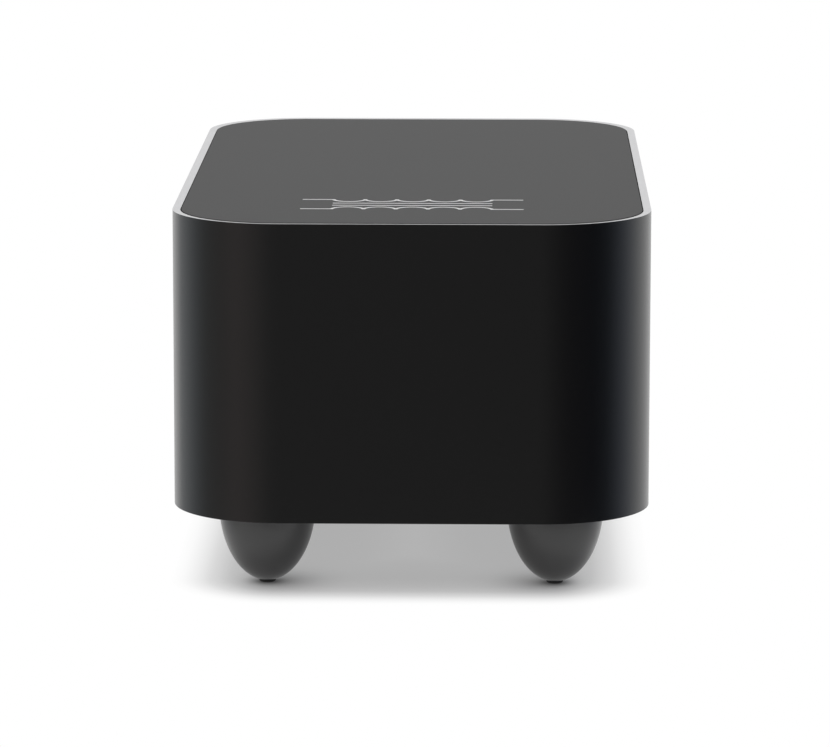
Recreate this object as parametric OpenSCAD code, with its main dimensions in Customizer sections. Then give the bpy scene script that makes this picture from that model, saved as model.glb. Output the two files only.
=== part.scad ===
// Moving coil step-up transformer: a rounded black sleeve on four egg-shaped feet.
// Two shielded ring transformers stand inside, and the sockets and the ground terminal are on the rear wall.
// Millimetres. +Z is up and the front faces -Y.
// The origin is on the floor, under the middle of the whole object.

/* [Case] */
// Width of the case
case_w = 120; // [108:1:160]
// Length of the case, front to rear
case_d = 212.5; // [205:0.5:280]
// Height of the sleeve
case_h = 75; // [62:0.5:110]
// Outer radius of the upright corners
corner_r = 27.5; // [18:0.5:30]
// Thickness of the sleeve's wall
wall = 2; // [1.6:0.1:3]
// Depth by which the corner screw channels run into the wall
channel_bite = 0.8; // [0.5:0.1:1.2]

/* [Top] */
// Depth of the top plate's face below the rim's outer edge
rim_drop = 0.05; // [0.05:0.05:1]
// Fall of the rim from its outer to its inner edge
rim_fall = 0.17; // [0.05:0.01:0.3]
// Thickness of the top plate
top_t = 3.35; // [2:0.05:5]
// Gap between the top plate and the sleeve
top_gap = 0.2; // [0.15:0.05:0.8]
// Thickness of the adhesive film
film_t = 0.5; // [0.2:0.1:1]
// Distance from the film's edge to the sleeve's inner wall
film_inset = 9; // [6:0.5:14]
// Thickness of the steel carrier
carrier_t = 2; // [1.8:0.1:3]

/* [Base] */
// Depth of the base plate's face above the sleeve's lower edge
base_recess = 0.5; // [0:0.1:2]
// Thickness of the base plate
base_t = 2.5; // [2.4:0.1:4]
// Gap between an inner plate and the sleeve
plate_gap = 0.4; // [0.3:0.05:1]

/* [Feet] */
// Largest radius of a foot
foot_r = 12.2; // [8:0.1:16]
// Height of a foot with its pad
foot_h = 20.35; // [16:0.05:40]
// Radius of the flat at the foot's tip
tip_r = 2.3; // [1.8:0.1:4]
// Distance from the case's sides to a foot's axis
foot_inset = 23.65; // [20:0.05:28]
// Radius of the rubber pad
pad_r = 2.1; // [1.2:0.1:2.2]
// How far the pad stands out of the tip
pad_out = 0.8; // [0.3:0.1:2]
// Depth of the pad's pocket
pad_sink = 1.2; // [0.6:0.1:3]

/* [Transformers] */
// Outer radius of the ring core
core_out_r = 22; // [20:0.5:24]
// Inner radius of the ring core
core_in_r = 13; // [12.5:0.25:15]
// Height of the ring core
core_h = 16; // [10:0.5:20]
// Build of the secondary winding on the core
secondary_t = 3.5; // [2:0.1:4]
// Thickness of the tape between the windings
tape_t = 0.4; // [0.3:0.1:0.8]
// Radius of the primary wire
primary_r = 0.6; // [0.4:0.05:0.8]
// Turns of the primary winding
primary_turns = 14; // [8:1:16]
// Room between the primary winding and the can
can_room = 7; // [6:0.5:9]
// Thickness of the shield can
can_t = 1; // [0.6:0.1:1.5]
// Gap between the two cans
can_gap = 9; // [6:0.5:14]
// Gap between the front can and the front wall
front_gap = 10.5; // [6:0.5:14]
// Radius of the centre bolts
bolt_r = 2.4; // [2:0.1:2.6]

/* [Sockets] */
// Outer radius of a phono socket's shell
shell_r = 4.15; // [4.1:0.01:4.2]
// Length of a shell's free barrel
barrel_l = 8; // [7:0.1:10]
// Radius of the hole in a centre contact
contact_bore_r = 1.6; // [1.55:0.01:1.65]
// Distance between the input and the output sockets
socket_pitch_x = 40; // [32:1:44]
// Distance between the left and the right channel's sockets
socket_pitch_z = 26; // [22:1:30]

/* [Ground terminal] */
// Radius of the ground stud
stud_r = 1.95; // [1.9:0.01:2.2]
// Radius of the thumb nut's knurled rim
thumb_r = 5.5; // [5:0.1:7]
// Length of the thumb nut
thumb_l = 7; // [6:0.1:9]
// Travel of the thumb nut when it is opened
thumb_travel = 2.8; // [1.4:0.1:3]
// Length of thread that the opened thumb nut still holds
thread_held = 5.7; // [3:0.1:6]
// Grooves of the thumb nut's knurl
knurls = 24; // [12:2:36]

/* [Hidden] */
$fn = 64;

// Clearances: between seated inner pieces, around screws, and of the running thread
fit = 0.2;
screw_gap = 0.1;
thread_gap = 0.05;
// An overshoot for cuts, so that no two faces of a cut lie in one plane
eps = 1;

// Machine screws: the case's M3, the feet's M4 and the transformers' M5, all as plain shanks
m3_r = 1.4;
m3_head_r = 2.9;
m3_head_h = 1.6;
m3_l = 10;
// Land between a corner screw's countersink and the plate's edge
screw_land = 0.3;
// A hexagonal socket in a screw's head: its depth as a share of the head's height,
// and its radius as a share of the shank's
hex_depth = 0.7;
hex_width = 0.65;
// Radius to which a nut's corners are turned down at its face, as a share of half its width
hex_turned = 0.96;
// Edge break of turned brass and screw heads
chamfer = 0.3;
m4_r = 1.9;
m4_head_r = 4;
m4_head_h = 2.4;
m4_in_foot = 10;
m5_head_r = 4.6;
m5_head_h = 2.2;
washer_r = 5;
washer_t = 0.8;
lug_t = 0.6;

// Derived sizes of the case, in a frame whose zero is the middle of the sleeve's lower edge
inner_r = corner_r - wall;
channel_d = inner_r - plate_gap - screw_land - screw_gap - m3_head_r;
channel_r = inner_r - channel_d + channel_bite;
channel_x = case_w / 2 - corner_r + channel_d * cos(45);
channel_y = case_d / 2 - corner_r + channel_d * sin(45);
base_top = base_recess + base_t;
// The rim has a level land along its outer edge, and falls over the rest of the wall
rim_land = 0.2;
rim_run = wall - rim_land;
top_face = case_h - rim_drop;
top_low = top_face - top_t;
carrier_top = top_low - film_t;
carrier_low = carrier_top - carrier_t;

// Feet
foot_x = case_w / 2 - foot_inset;
foot_y = case_d / 2 - foot_inset;
foot_body_h = foot_h - pad_out;
foot_axis_h = foot_body_h / sqrt(1 - pow(tip_r / foot_r, 2));
foot_bore_l = m4_in_foot + 2;
pad_gap = 0.05;
// The ground wire's lug lies under the screw of the rear foot on the inputs' side
earth_foot = [1, 1];

// Coil: half width and half height of its section grow layer by layer, round the section's middle radius
coil_r = (core_out_r + core_in_r) / 2;
core_half = [(core_out_r - core_in_r) / 2, core_h / 2];
core_corner = 0.8;
winding_in = grown(core_half, fit);
winding_out = grown(winding_in, secondary_t);
winding_corner = 2.6;
tape_in = grown(winding_out, fit);
tape_out = grown(tape_in, tape_t);
tape_corner = winding_corner + fit + tape_t;
wire_path = grown(tape_out, fit + primary_r);
wire_corner = tape_corner + fit + primary_r;
wire_out = grown(wire_path, primary_r);
coil_out_r = coil_r + wire_out[0];
coil_h = 2 * wire_out[1];
cushion_t = 2;
cushion_hole_r = bolt_r + 0.4;
dish_t = 1.2;
dish_sink = 1.5;
dish_hub_r = coil_r - 10;
dish_knee_r = coil_r - 5;
dish_rim_r = coil_out_r - 3;
centre_nut_h = 4;
centre_nut_af = 8;
bolt_end = 2;

// Shield cans and what stands in them, from the base plate up
can_pad_t = 1.5;
can_pad_inset = 4;
can_bend_r = 2.5;
lid_room = 4;
beside_washer = 1;
can_in_r = coil_out_r + can_room;
can_r = can_in_r + can_t;
can_low = base_top + can_pad_t;
can_floor = can_low + can_t;
coil_low = can_floor + cushion_t + screw_gap;
coil_mid = coil_low + coil_h / 2;
coil_top = coil_low + coil_h + screw_gap;
dish_low = coil_top + cushion_t;
bolt_top = dish_low - dish_sink + dish_t + centre_nut_h + bolt_end;
can_top = bolt_top + lid_room;
skirt_l = 5;
front_can_y = max(
    -case_d / 2 + wall + front_gap + can_r,
    -foot_y + beside_foot(foot_x, can_r + washer_r + beside_washer)
);
rear_can_y = front_can_y + 2 * can_r + can_gap;
right_can = [0, front_can_y];
left_can = [0, rear_can_y];
// Directions in which the leads leave each can: primary, then secondary
right_exits = [0, 180];
left_exits = [60, 120];

// Grommets and leads
grommet_hole_r = 3.6;
grommet_flange_r = 5;
grommet_flange_t = 1;
grommet_bore_r = 2.4;
lead_r = 0.7;
lead_apart = 2.5;
lead_step = 3.4;
exit_mid = 1.8;
exit_l = 4;
stub_l = 4;
stub_bend = 1.6;
window_l = 6;
window_h = 4;
window_w = lead_apart + 2 * lead_r + 2;
primary_lead_r = (coil_r + wire_path[0]) * cos(asin(lead_apart / 2 / (coil_r + wire_path[0]))) + stub_l;
secondary_lead_r = coil_r + winding_out[0];

// Sockets: distances along the socket's axis, from the rear wall's outer face outwards
rear_face = case_d / 2;
ring_r = 6.5;
ring_t = 1.6;
hole_r = 5;
neck_r = 4;
flange_t = 1.8;
flange_af = 11;
barrel_low = ring_t + flange_t;
barrel_top = barrel_low + barrel_l;
dielectric_r = 3.3;
dielectric_top = barrel_top - 1;
contact_wall = 0.35;
contact_r = contact_bore_r + contact_wall;
contact_mouth = 0.15;
contact_top = dielectric_top - fit;
contact_bore_l = 7.5;
press_gap = 0.02;
socket_washer_t = 1;
socket_nut_t = 2.2;
neck_end = 2.5;
neck_low = -wall - socket_washer_t - lug_t - socket_nut_t - neck_end;
tail_l = 8;
tail_low = neck_low - tail_l;
tail_r = 1;
socket_lug_r = 6;
tab_w = 3;
tab_l = 5;
tab_past = 0.4;
tab_mid = socket_lug_r + tab_l / 2 + tab_past;
socket_mid_z = (base_top + carrier_low) / 2;
inputs_x = socket_pitch_x / 2;
left_z = socket_mid_z + socket_pitch_z / 2;
right_z = socket_mid_z - socket_pitch_z / 2;
input_left = [inputs_x, left_z];
input_right = [inputs_x, right_z];
output_left = [-inputs_x, left_z];
output_right = [-inputs_x, right_z];
SOCKETS = [input_left, input_right, output_left, output_right];

// Ground terminal, from the rear wall's outer face outwards
stud_flange_t = 2;
stud_flange_af = 9;
clamp_t = 1;
clamp_r = 4.6;
clamp_gap = 0.08;
collar_l = 1.6;
collar_r = clamp_r - 0.4;
knurl_r = 0.45;
knurl_out = 0.15;
thumb_low = stud_flange_t + clamp_t;
stud_top = thumb_low + thumb_travel + thread_held;
stud_in = 7;
stud_low = -wall - stud_in;
stud_nut_af = 7;
stud_nut_t = 3.2;
earth_lug_r = 4.2;
earth_tab_l = 7;

// Place of the case in the object's frame: the rear pieces make the box longer behind than in front
rear_out = max(barrel_top, stud_top);
case_y = -rear_out / 2;
case_z = foot_h - base_recess;

// A section's half sizes grown by t on every side
function grown(half, t) = [half[0] + t, half[1] + t];
// Distance along Y at which a can's axis is reach away from a foot's, when they are x apart the other way
function beside_foot(x, reach) = x < reach ? sqrt(reach * reach - x * x) : 0;
function unit(v) = v / norm(v);

// Points of a rounded rectangle's outline, 24 in all, that start in the middle of its right side and go down:
// an arc of four points at each corner, and two points on each straight side
function section_loop(half, r) =
    let (
        corners = [[1, -1, 0], [-1, -1, -90], [-1, 1, -180], [1, 1, -270]],
        arcs = [for (c = corners) [for (a = [0:30:90])
            [c[0] * (half[0] - r) + r * cos(c[2] - a), c[1] * (half[1] - r) + r * sin(c[2] - a)]]],
        start = [half[0], (half[1] - r) / 3]
    )
    concat(
        [[half[0], -start[1]]],
        [for (i = [0:2]) each concat(arcs[i], between(arcs[i][3], arcs[i + 1][0]))],
        arcs[3],
        [start]
    );
function between(a, b) = [a + (b - a) / 3, a + (b - a) * 2 / 3];

// The primary winding's path: turns that wind round the coil's section while they go round the ring.
// Both ends turn outwards at the ring's rim, side by side.
function winding_path(half, r, turns) =
    let (
        loop = section_loop(half, r),
        n = len(loop),
        rim_r = coil_r + half[0],
        seam = 2 * asin(lead_apart / 2 / rim_r),
        sweep = 360 - seam,
        total = turns * n - 1,
        turn_points = [
            for (k = [0:total]) ring_point(loop[k % n], seam / 2 + sweep * (k + 0.5) / (total + 1))
        ]
    )
    concat(stub(rim_r, seam / 2, -1), turn_points, reversed(stub(rim_r, -seam / 2, 1)));
function ring_point(p, a) = [(coil_r + p[0]) * cos(a), (coil_r + p[0]) * sin(a), p[1]];
// An end of the winding, from its tip to where it joins the turns, on the side of the seam given by its angle
function stub(rim_r, a, way) =
    let (y = rim_r * sin(a), x = rim_r * cos(a))
    concat(
        [[x + stub_l, y, 0]],
        [for (t = [0:30:90]) [x + stub_bend * (1 - sin(t)), y, way * stub_bend * (1 - cos(t))]]
    );
function reversed(list) = [for (i = [len(list) - 1:-1:0]) list[i]];

// Least distance between the surfaces of a tube's stretches that aren't next to each other along it
function least_gap(points, r, apart) =
    let (last = len(points) - 1)
    min([for (i = [0:last]) for (j = [i + apart:1:last]) norm(points[i] - points[j])]) - 2 * r;

// A smooth curve through points, with a point about every step along it
function smooth(points, step) =
    let (n = len(points))
    concat(
        [for (i = [0:n - 2]) let (
            a = points[max(i - 1, 0)], b = points[i], c = points[i + 1], d = points[min(i + 2, n - 1)],
            m = max(1, round(norm(c - b) / step))
        ) for (k = [0:m - 1]) curve_point(a, b, c, d, k / m)],
        [points[n - 1]]
    );
function curve_point(a, b, c, d, t) =
    0.5 * (2 * b + (c - a) * t + (2 * a - 5 * b + 4 * c - d) * t * t + (3 * b - a - 3 * c + d) * t * t * t);

// A tube of even radius along points: rings of corners square to the path, joined into one closed skin
module tube(points, r, sides) {
    n = len(points);
    ways = [for (i = [0:n - 1]) unit(points[min(i + 1, n - 1)] - points[max(i - 1, 0)])];
    first = unit(cross(ways[0], abs(ways[0][2]) < 0.9 ? [0, 0, 1] : [1, 0, 0]));
    normals = [
        for (i = 0, v = first; i < n; i = i + 1, v = i < n ? unit(v - (v * ways[i]) * ways[i]) : v) v
    ];
    corners = [
        for (i = [0:n - 1]) for (s = [0:sides - 1])
            let (a = 360 * s / sides)
            points[i] + r * (cos(a) * normals[i] + sin(a) * cross(ways[i], normals[i]))
    ];
    skin = [
        for (i = [0:n - 2]) for (s = [0:sides - 1])
            let (p = i * sides + s, q = i * sides + (s + 1) % sides)
            each [[p, p + sides, q], [q, p + sides, q + sides]]
    ];
    lids = [
        for (s = [1:sides - 2]) each [
            [0, s, s + 1],
            [(n - 1) * sides, (n - 1) * sides + s + 1, (n - 1) * sides + s]
        ]
    ];
    polyhedron(corners, concat(skin, lids));
}

// Outline of the case or of a plate in it
module rounded(w, d, r) {
    square([w - 2 * r, d], center = true);
    square([w, d - 2 * r], center = true);
    for (x = [-1, 1], y = [-1, 1])
        translate([x * (w / 2 - r), y * (d / 2 - r)])
            circle(r);
}

// Outline of a piece that fits inside the sleeve with a gap all round
module inside(gap) {
    rounded(case_w - 2 * (wall + gap), case_d - 2 * (wall + gap), inner_r - gap);
}

module at_corners(x, y) {
    for (i = [-1, 1], j = [-1, 1])
        translate([i * x, j * y, 0])
            children();
}

// A ring's section as a flat shape, to be turned about the ring's axis
module ring_section(half, r) {
    translate([coil_r, 0])
        rounded(2 * half[0], 2 * half[1], r);
}

// A countersunk screw that points down, with its head's flat face at zero and a hexagonal socket
module countersunk(r, head_r, head_h, length) {
    difference() {
        rotate_extrude()
            polygon([[0, -length], [r, -length], [r, -head_h], [head_r, 0], [0, 0]]);
        translate([0, 0, -head_h * hex_depth])
            cylinder(h = head_h, r = r * hex_width, $fn = 6);
    }
}

// The hole for such a screw, with its gap all round
module countersink(r, head_r, head_h, length) {
    hole = r + screw_gap;
    mouth = head_r + screw_gap;
    rotate_extrude()
        polygon([
            [0, eps], [mouth, eps], [mouth, 0], [hole, -head_h], [hole, -length - eps], [0, -length - eps]
        ]);
}

// A hexagonal prism with its corners turned down to a cone at the upper face,
// and at the lower one too if both is true
module hex_prism(across_flats, t, both) {
    corner = across_flats / sqrt(3);
    turned = across_flats / 2 * hex_turned;
    drop = (corner - turned) * tan(30);
    intersection() {
        cylinder(h = t, r = corner, $fn = 6);
        rotate_extrude()
            polygon([
                [0, 0], [both ? turned : corner + eps, 0], [corner + eps, both ? drop + eps * tan(30) : 0],
                [corner + eps, t - drop - eps * tan(30)], [turned, t], [0, t]
            ]);
    }
}

module hex_nut(across_flats, t, bore_r) {
    difference() {
        hex_prism(across_flats, t, true);
        translate([0, 0, -eps])
            cylinder(h = t + 2 * eps, r = bore_r);
    }
}

module washer(r, t, bore_r) {
    difference() {
        cylinder(h = t, r = r);
        translate([0, 0, -eps])
            cylinder(h = t + 2 * eps, r = bore_r);
    }
}

// A solder lug: a ring with a flat tab along +Y
module lug(r, bore_r, length) {
    difference() {
        union() {
            cylinder(h = lug_t, r = r);
            translate([-tab_w / 2, 0, 0])
                cube([tab_w, r + length, lug_t]);
        }
        translate([0, 0, -eps])
            cylinder(h = lug_t + 2 * eps, r = bore_r);
    }
}

// Places a piece drawn along +Z on the rear wall, so that +Z points out and +Y points down
module on_rear(at) {
    translate([at[0], rear_face, at[1]])
        rotate([-90, 0, 0])
            children();
}

// The block that is cut from the sleeve to make its rim fall inwards: it widens upwards,
// and passes through the rim's outer land and through the upper edge of the sleeve's inner wall
module rim_cut() {
    straight_x = case_w / 2 - corner_r;
    straight_y = case_d / 2 - corner_r;
    low = [inner_r - rim_run, case_h - 2 * rim_fall];
    high = [inner_r + 2 * rim_run, case_h + rim_fall];
    translate([0, 0, low[1]])
        at_corners(straight_x, straight_y)
            cylinder(h = high[1] - low[1], r1 = low[0], r2 = high[0]);
    rotate([90, 0, 0])
        linear_extrude(2 * straight_y, center = true)
            flared(straight_x, low, high);
    rotate([90, 0, 90])
        linear_extrude(2 * straight_x, center = true)
            flared(straight_y, low, high);
}

// Section of the rim's cut between two opposite walls
module flared(straight, low, high) {
    polygon([
        [-straight - low[0], low[1]], [straight + low[0], low[1]],
        [straight + high[0], high[1]], [-straight - high[0], high[1]]
    ]);
}

module outer_case() {
    color([0.03, 0.03, 0.035])
        difference() {
            union() {
                linear_extrude(case_h)
                    difference() {
                        rounded(case_w, case_d, corner_r);
                        inside(0);
                    }
                at_corners(channel_x, channel_y)
                    translate([0, 0, base_top])
                        cylinder(h = carrier_low - base_top, r = channel_r);
            }
            rim_cut();
            at_corners(channel_x, channel_y)
                cylinder(h = case_h, r = m3_r + screw_gap);
            for (at = SOCKETS)
                on_rear(at)
                    translate([0, 0, -wall - eps])
                        cylinder(h = wall + 2 * eps, r = hole_r);
            on_rear([0, socket_mid_z])
                translate([0, 0, -wall - eps])
                    cylinder(h = wall + 2 * eps, r = stud_r + screw_gap);
        }
}

module top_plate() {
    color([0.09, 0.09, 0.095])
        translate([0, 0, top_low])
            linear_extrude(top_t)
                inside(top_gap);
}

module top_adhesive() {
    color([0.85, 0.85, 0.8])
        translate([0, 0, carrier_top])
            linear_extrude(film_t)
                inside(film_inset);
}

module top_carrier() {
    color([0.6, 0.6, 0.62])
        difference() {
            translate([0, 0, carrier_low])
                linear_extrude(carrier_t)
                    inside(plate_gap);
            at_corners(channel_x, channel_y)
                translate([0, 0, carrier_top])
                    countersink(m3_r, m3_head_r, m3_head_h, carrier_t);
        }
}

module carrier_screws() {
    color([0.5, 0.5, 0.52])
        at_corners(channel_x, channel_y)
            translate([0, 0, carrier_top])
                countersunk(m3_r, m3_head_r, m3_head_h, m3_l);
}

module base_plate() {
    color([0.04, 0.04, 0.045])
        difference() {
            translate([0, 0, base_recess])
                linear_extrude(base_t)
                    inside(plate_gap);
            at_corners(channel_x, channel_y)
                translate([0, 0, base_recess])
                    mirror([0, 0, 1])
                        countersink(m3_r, m3_head_r, m3_head_h, base_t);
            at_corners(foot_x, foot_y)
                cylinder(h = base_top + eps, r = m4_r + 2 * screw_gap);
            for (y = [front_can_y, rear_can_y])
                translate([0, y, base_recess])
                    mirror([0, 0, 1])
                        countersink(bolt_r, m5_head_r, m5_head_h, base_t);
        }
}

module base_screws() {
    color([0.2, 0.2, 0.21])
        at_corners(channel_x, channel_y)
            translate([0, 0, base_recess])
                mirror([0, 0, 1])
                    countersunk(m3_r, m3_head_r, m3_head_h, m3_l);
}

// Half an egg, turned about its upright axis: an ellipse's quarter, cut flat at the tip,
// with a threaded bore from above and a pocket for the pad from below
module foot(i, j) {
    color([0.12, 0.12, 0.12])
        translate([i * foot_x, j * foot_y, base_recess])
            rotate_extrude()
                difference() {
                    intersection() {
                        scale([foot_r, foot_axis_h])
                            circle(1);
                        translate([0, -foot_body_h])
                            square([foot_r + eps, foot_body_h]);
                    }
                    translate([-eps, -foot_bore_l])
                        square([eps + m4_r + screw_gap, foot_bore_l + eps]);
                    translate([-eps, -foot_body_h - eps])
                        square([eps + pad_r + pad_gap, pad_sink + eps]);
                }
}

module foot_pads() {
    color([0.02, 0.02, 0.02])
        at_corners(foot_x, foot_y)
            translate([0, 0, base_recess - foot_h])
                cylinder(h = pad_out + pad_sink, r = pad_r);
}

// Height of a foot screw's washer above the base plate: one of them clamps the earth lug
function washer_low(i, j) = base_top + ([i, j] == earth_foot ? lug_t : 0);

module foot_screws() {
    color([0.5, 0.5, 0.52])
        for (i = [-1, 1], j = [-1, 1])
            translate([i * foot_x, j * foot_y, washer_low(i, j) + washer_t])
                difference() {
                    rotate_extrude()
                        polygon([
                            [0, -washer_t - base_t - m4_in_foot], [m4_r, -washer_t - base_t - m4_in_foot],
                            [m4_r, 0], [m4_head_r, 0], [m4_head_r, m4_head_h - chamfer],
                            [m4_head_r - chamfer, m4_head_h], [0, m4_head_h]
                        ]);
                    translate([0, 0, m4_head_h * (1 - hex_depth)])
                        cylinder(h = m4_head_h, r = m4_r * hex_width, $fn = 6);
                }
}

module foot_washers() {
    color([0.7, 0.7, 0.72])
        for (i = [-1, 1], j = [-1, 1])
            translate([i * foot_x, j * foot_y, washer_low(i, j)])
                washer(washer_r, washer_t, m4_r + screw_gap);
}

// Half the outline of a cup that is turned about its axis: a rectangle with its lower outer corner rounded
module cup(r, h, bend) {
    translate([0, bend])
        square([r, h - bend]);
    square([r - bend, h]);
    translate([r - bend, bend])
        circle(bend);
}

// A drawn can with a hole in its wall for each pair of leads
module shield_can(at, exits) {
    color([0.62, 0.62, 0.6])
        translate([at[0], at[1], can_low])
            difference() {
                rotate_extrude()
                    difference() {
                        cup(can_r, can_top - can_low, can_bend_r);
                        translate([0, can_t])
                            cup(can_in_r, can_top, can_bend_r - can_t);
                    }
                translate([0, 0, -eps])
                    cylinder(h = 4 * eps, r = bolt_r + screw_gap);
                for (a = exits)
                    rotate([0, 0, a])
                        translate([can_in_r - eps, 0, coil_mid - can_low])
                            rotate([0, 90, 0])
                                cylinder(h = can_t + 2 * eps, r = grommet_hole_r);
            }
}

module shield_lid(at) {
    color([0.66, 0.66, 0.64])
        translate([at[0], at[1], can_top])
            rotate_extrude()
                union() {
                    square([can_r - can_t / 2, can_t]);
                    translate([can_r - can_t / 2, can_t / 2])
                        circle(can_t / 2);
                    translate([can_in_r - fit - can_t, -skirt_l])
                        square([can_t, skirt_l + can_t / 2]);
                }
}

module core(at) {
    color([0.35, 0.35, 0.38])
        translate([at[0], at[1], coil_mid])
            rotate_extrude()
                ring_section(core_half, core_corner);
}

module secondary_winding(at) {
    color([0.72, 0.42, 0.16])
        translate([at[0], at[1], coil_mid])
            rotate_extrude()
                difference() {
                    ring_section(winding_out, winding_corner);
                    ring_section(winding_in, core_corner + fit);
                }
}

// Tape round the secondary winding, with a window in its rim where the winding's leads come out
module winding_tape(at, exits) {
    color([0.85, 0.75, 0.35])
        translate([at[0], at[1], coil_mid])
            difference() {
                rotate_extrude()
                    difference() {
                        ring_section(tape_out, tape_corner);
                        ring_section(tape_in, tape_corner - tape_t);
                    }
                rotate([0, 0, exits[1]])
                    translate([coil_r + winding_out[0], 0, 0])
                        cube([window_l, window_w, window_h], center = true);
            }
}

module primary_winding(at, exits) {
    path = winding_path(wire_path, wire_corner, primary_turns);
    gap = least_gap(path, primary_r, 8);
    echo(str("least gap of the primary winding to itself, mm: ", gap));
    color([0.85, 0.85, 0.88])
        translate([at[0], at[1], coil_mid])
            rotate([0, 0, exits[0]])
                tube(path, primary_r, 6);
}

module can_cushions() {
    color([0.05, 0.05, 0.05])
        for (at = [left_can, right_can])
            translate([at[0], at[1], base_top])
                washer(can_r - can_pad_inset, can_pad_t, cushion_hole_r);
}

module coil_cushions() {
    color([0.05, 0.05, 0.05])
        for (at = [left_can, right_can]) {
            translate([at[0], at[1], can_floor])
                washer(coil_out_r, cushion_t, cushion_hole_r);
            translate([at[0], at[1], coil_top])
                washer(coil_out_r, cushion_t, dish_knee_r + 1);
        }
}

module centre_bolts() {
    color([0.55, 0.55, 0.57])
        for (at = [left_can, right_can])
            translate([at[0], at[1], base_recess])
                mirror([0, 0, 1])
                    countersunk(bolt_r, m5_head_r, m5_head_h, bolt_top - base_recess);
}

// A pressed disc that holds the coil down: a flat rim, a cone and a lower flat hub
module dished_washers() {
    color([0.7, 0.7, 0.72])
        for (at = [left_can, right_can])
            translate([at[0], at[1], dish_low])
                rotate_extrude()
                    polygon([
                        [bolt_r + screw_gap, -dish_sink], [dish_hub_r, -dish_sink], [dish_knee_r, 0],
                        [dish_rim_r, 0], [dish_rim_r, dish_t], [dish_knee_r - dish_t / 3, dish_t],
                        [dish_hub_r - dish_t / 3, dish_t - dish_sink],
                        [bolt_r + screw_gap, dish_t - dish_sink]
                    ]);
}

module centre_nuts() {
    color([0.6, 0.6, 0.62])
        for (at = [left_can, right_can])
            translate([at[0], at[1], dish_low - dish_sink + dish_t])
                hex_nut(centre_nut_af, centre_nut_h, bolt_r + screw_gap);
}

// A rubber grommet in a can's wall: two flanges on a waist, flat where the wall is round
module lead_grommets() {
    wall_in = sqrt(can_in_r * can_in_r - grommet_flange_r * grommet_flange_r) - screw_gap;
    wall_out = can_r + screw_gap;
    color([0.05, 0.05, 0.05])
        for (can = [[left_can, left_exits], [right_can, right_exits]])
            for (a = can[1])
                translate([can[0][0], can[0][1], coil_mid])
                    rotate([0, 0, a])
                        rotate([0, 90, 0])
                            rotate_extrude()
                                polygon([
                                    [grommet_bore_r, wall_in - grommet_flange_t],
                                    [grommet_flange_r, wall_in - grommet_flange_t],
                                    [grommet_flange_r, wall_in], [grommet_hole_r - screw_gap, wall_in],
                                    [grommet_hole_r - screw_gap, wall_out], [grommet_flange_r, wall_out],
                                    [grommet_flange_r, wall_out + grommet_flange_t],
                                    [grommet_bore_r, wall_out + grommet_flange_t]
                                ]);
}

// Where a lead starts at its coil, and two points straight outside the can's wall
function lead_start(can, a, side, start_r) =
    let (along = [cos(a), sin(a), 0], aside = side * lead_apart / 2 * [-sin(a), cos(a), 0])
    [for (r = [start_r, can_r + exit_mid, can_r + exit_l]) [can[0], can[1], coil_mid] + r * along + aside];
// A socket's two joints: the end of the centre contact's tail, and the middle of the lug's tab
function tail_end(at) = [at[0], rear_face + tail_low, at[1]];
function tab_end(at) = [at[0], rear_face - wall - socket_washer_t - lug_t, at[1] - tab_mid];
// The last stretch of a lead runs straight along +Y into its joint
function straight_in(p) = [p - [0, 6, 0], p - [0, 3, 0], p];

// Two leads of the rear can, which climb from its wall to an upper socket
module upper_leads(a, start_r, socket) {
    ends = [tail_end(socket), tab_end(socket)];
    way = sign(socket[0]);
    for (k = [0, 1])
        tube(
            smooth(
                concat(lead_start(left_can, a, way * (k == 0 ? -1 : 1), start_r), straight_in(ends[k])),
                lead_step
            ),
            lead_r, 8
        );
}

// Two leads of the front can, which go down to the base plate, along it beside the rear can,
// and up to a lower socket
module lower_leads(a, start_r, socket) {
    ends = [tail_end(socket), tab_end(socket)];
    way = sign(socket[0]);
    run_z = base_top + lead_r + fit;
    run_x = (can_r + case_w / 2 - wall) / 2;
    cross_y = rear_can_y + can_r + 7;
    for (k = [0, 1]) {
        out = (k == 0 ? 1 : -1) * lead_apart / 2;
        start = lead_start(right_can, a, way * (k == 0 ? -1 : 1), start_r);
        x = run_x + out;
        y = start[2][1];
        tube(
            smooth(
                concat(
                    start,
                    [
                        [way * (x - 2), y + 4, coil_mid - 4],
                        [way * x, y + 14, run_z + 6],
                        [way * x, y + 26, run_z + 1.2],
                        [way * x, rear_can_y, run_z],
                        [way * x, cross_y - 16 + out, run_z],
                        [way * (x - 8), cross_y - 2 + out, run_z + 1],
                        [way * (inputs_x + 6), cross_y + 2 + out, (run_z + ends[k][2]) / 2]
                    ],
                    straight_in(ends[k])
                ),
                lead_step
            ),
            lead_r, 8
        );
    }
}

module left_primary_leads() {
    color([0.8, 0.8, 0.78])
        upper_leads(left_exits[0], primary_lead_r, input_left);
}

module left_secondary_leads() {
    color([0.2, 0.35, 0.7])
        upper_leads(left_exits[1], secondary_lead_r, output_left);
}

module right_primary_leads() {
    color([0.75, 0.12, 0.1])
        lower_leads(right_exits[0], primary_lead_r, input_right);
}

module right_secondary_leads() {
    color([0.85, 0.5, 0.1])
        lower_leads(right_exits[1], secondary_lead_r, output_right);
}

// One of the four phono sockets' shells: a hexagonal flange, a free barrel and a threaded neck,
// bored right through
module socket_shell(at) {
    color([0.85, 0.68, 0.3])
        on_rear(at)
            difference() {
                union() {
                    translate([0, 0, ring_t])
                        hex_prism(flange_af, flange_t, false);
                    rotate_extrude()
                        polygon([
                            [0, neck_low], [neck_r - chamfer, neck_low], [neck_r, neck_low + chamfer],
                            [neck_r, barrel_low - flange_t / 2], [shell_r, barrel_low - flange_t / 2],
                            [shell_r, barrel_top - chamfer], [shell_r - chamfer, barrel_top], [0, barrel_top]
                        ]);
                }
                translate([0, 0, neck_low - eps])
                    cylinder(h = barrel_top - neck_low + 2 * eps, r = dielectric_r);
            }
}

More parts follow.
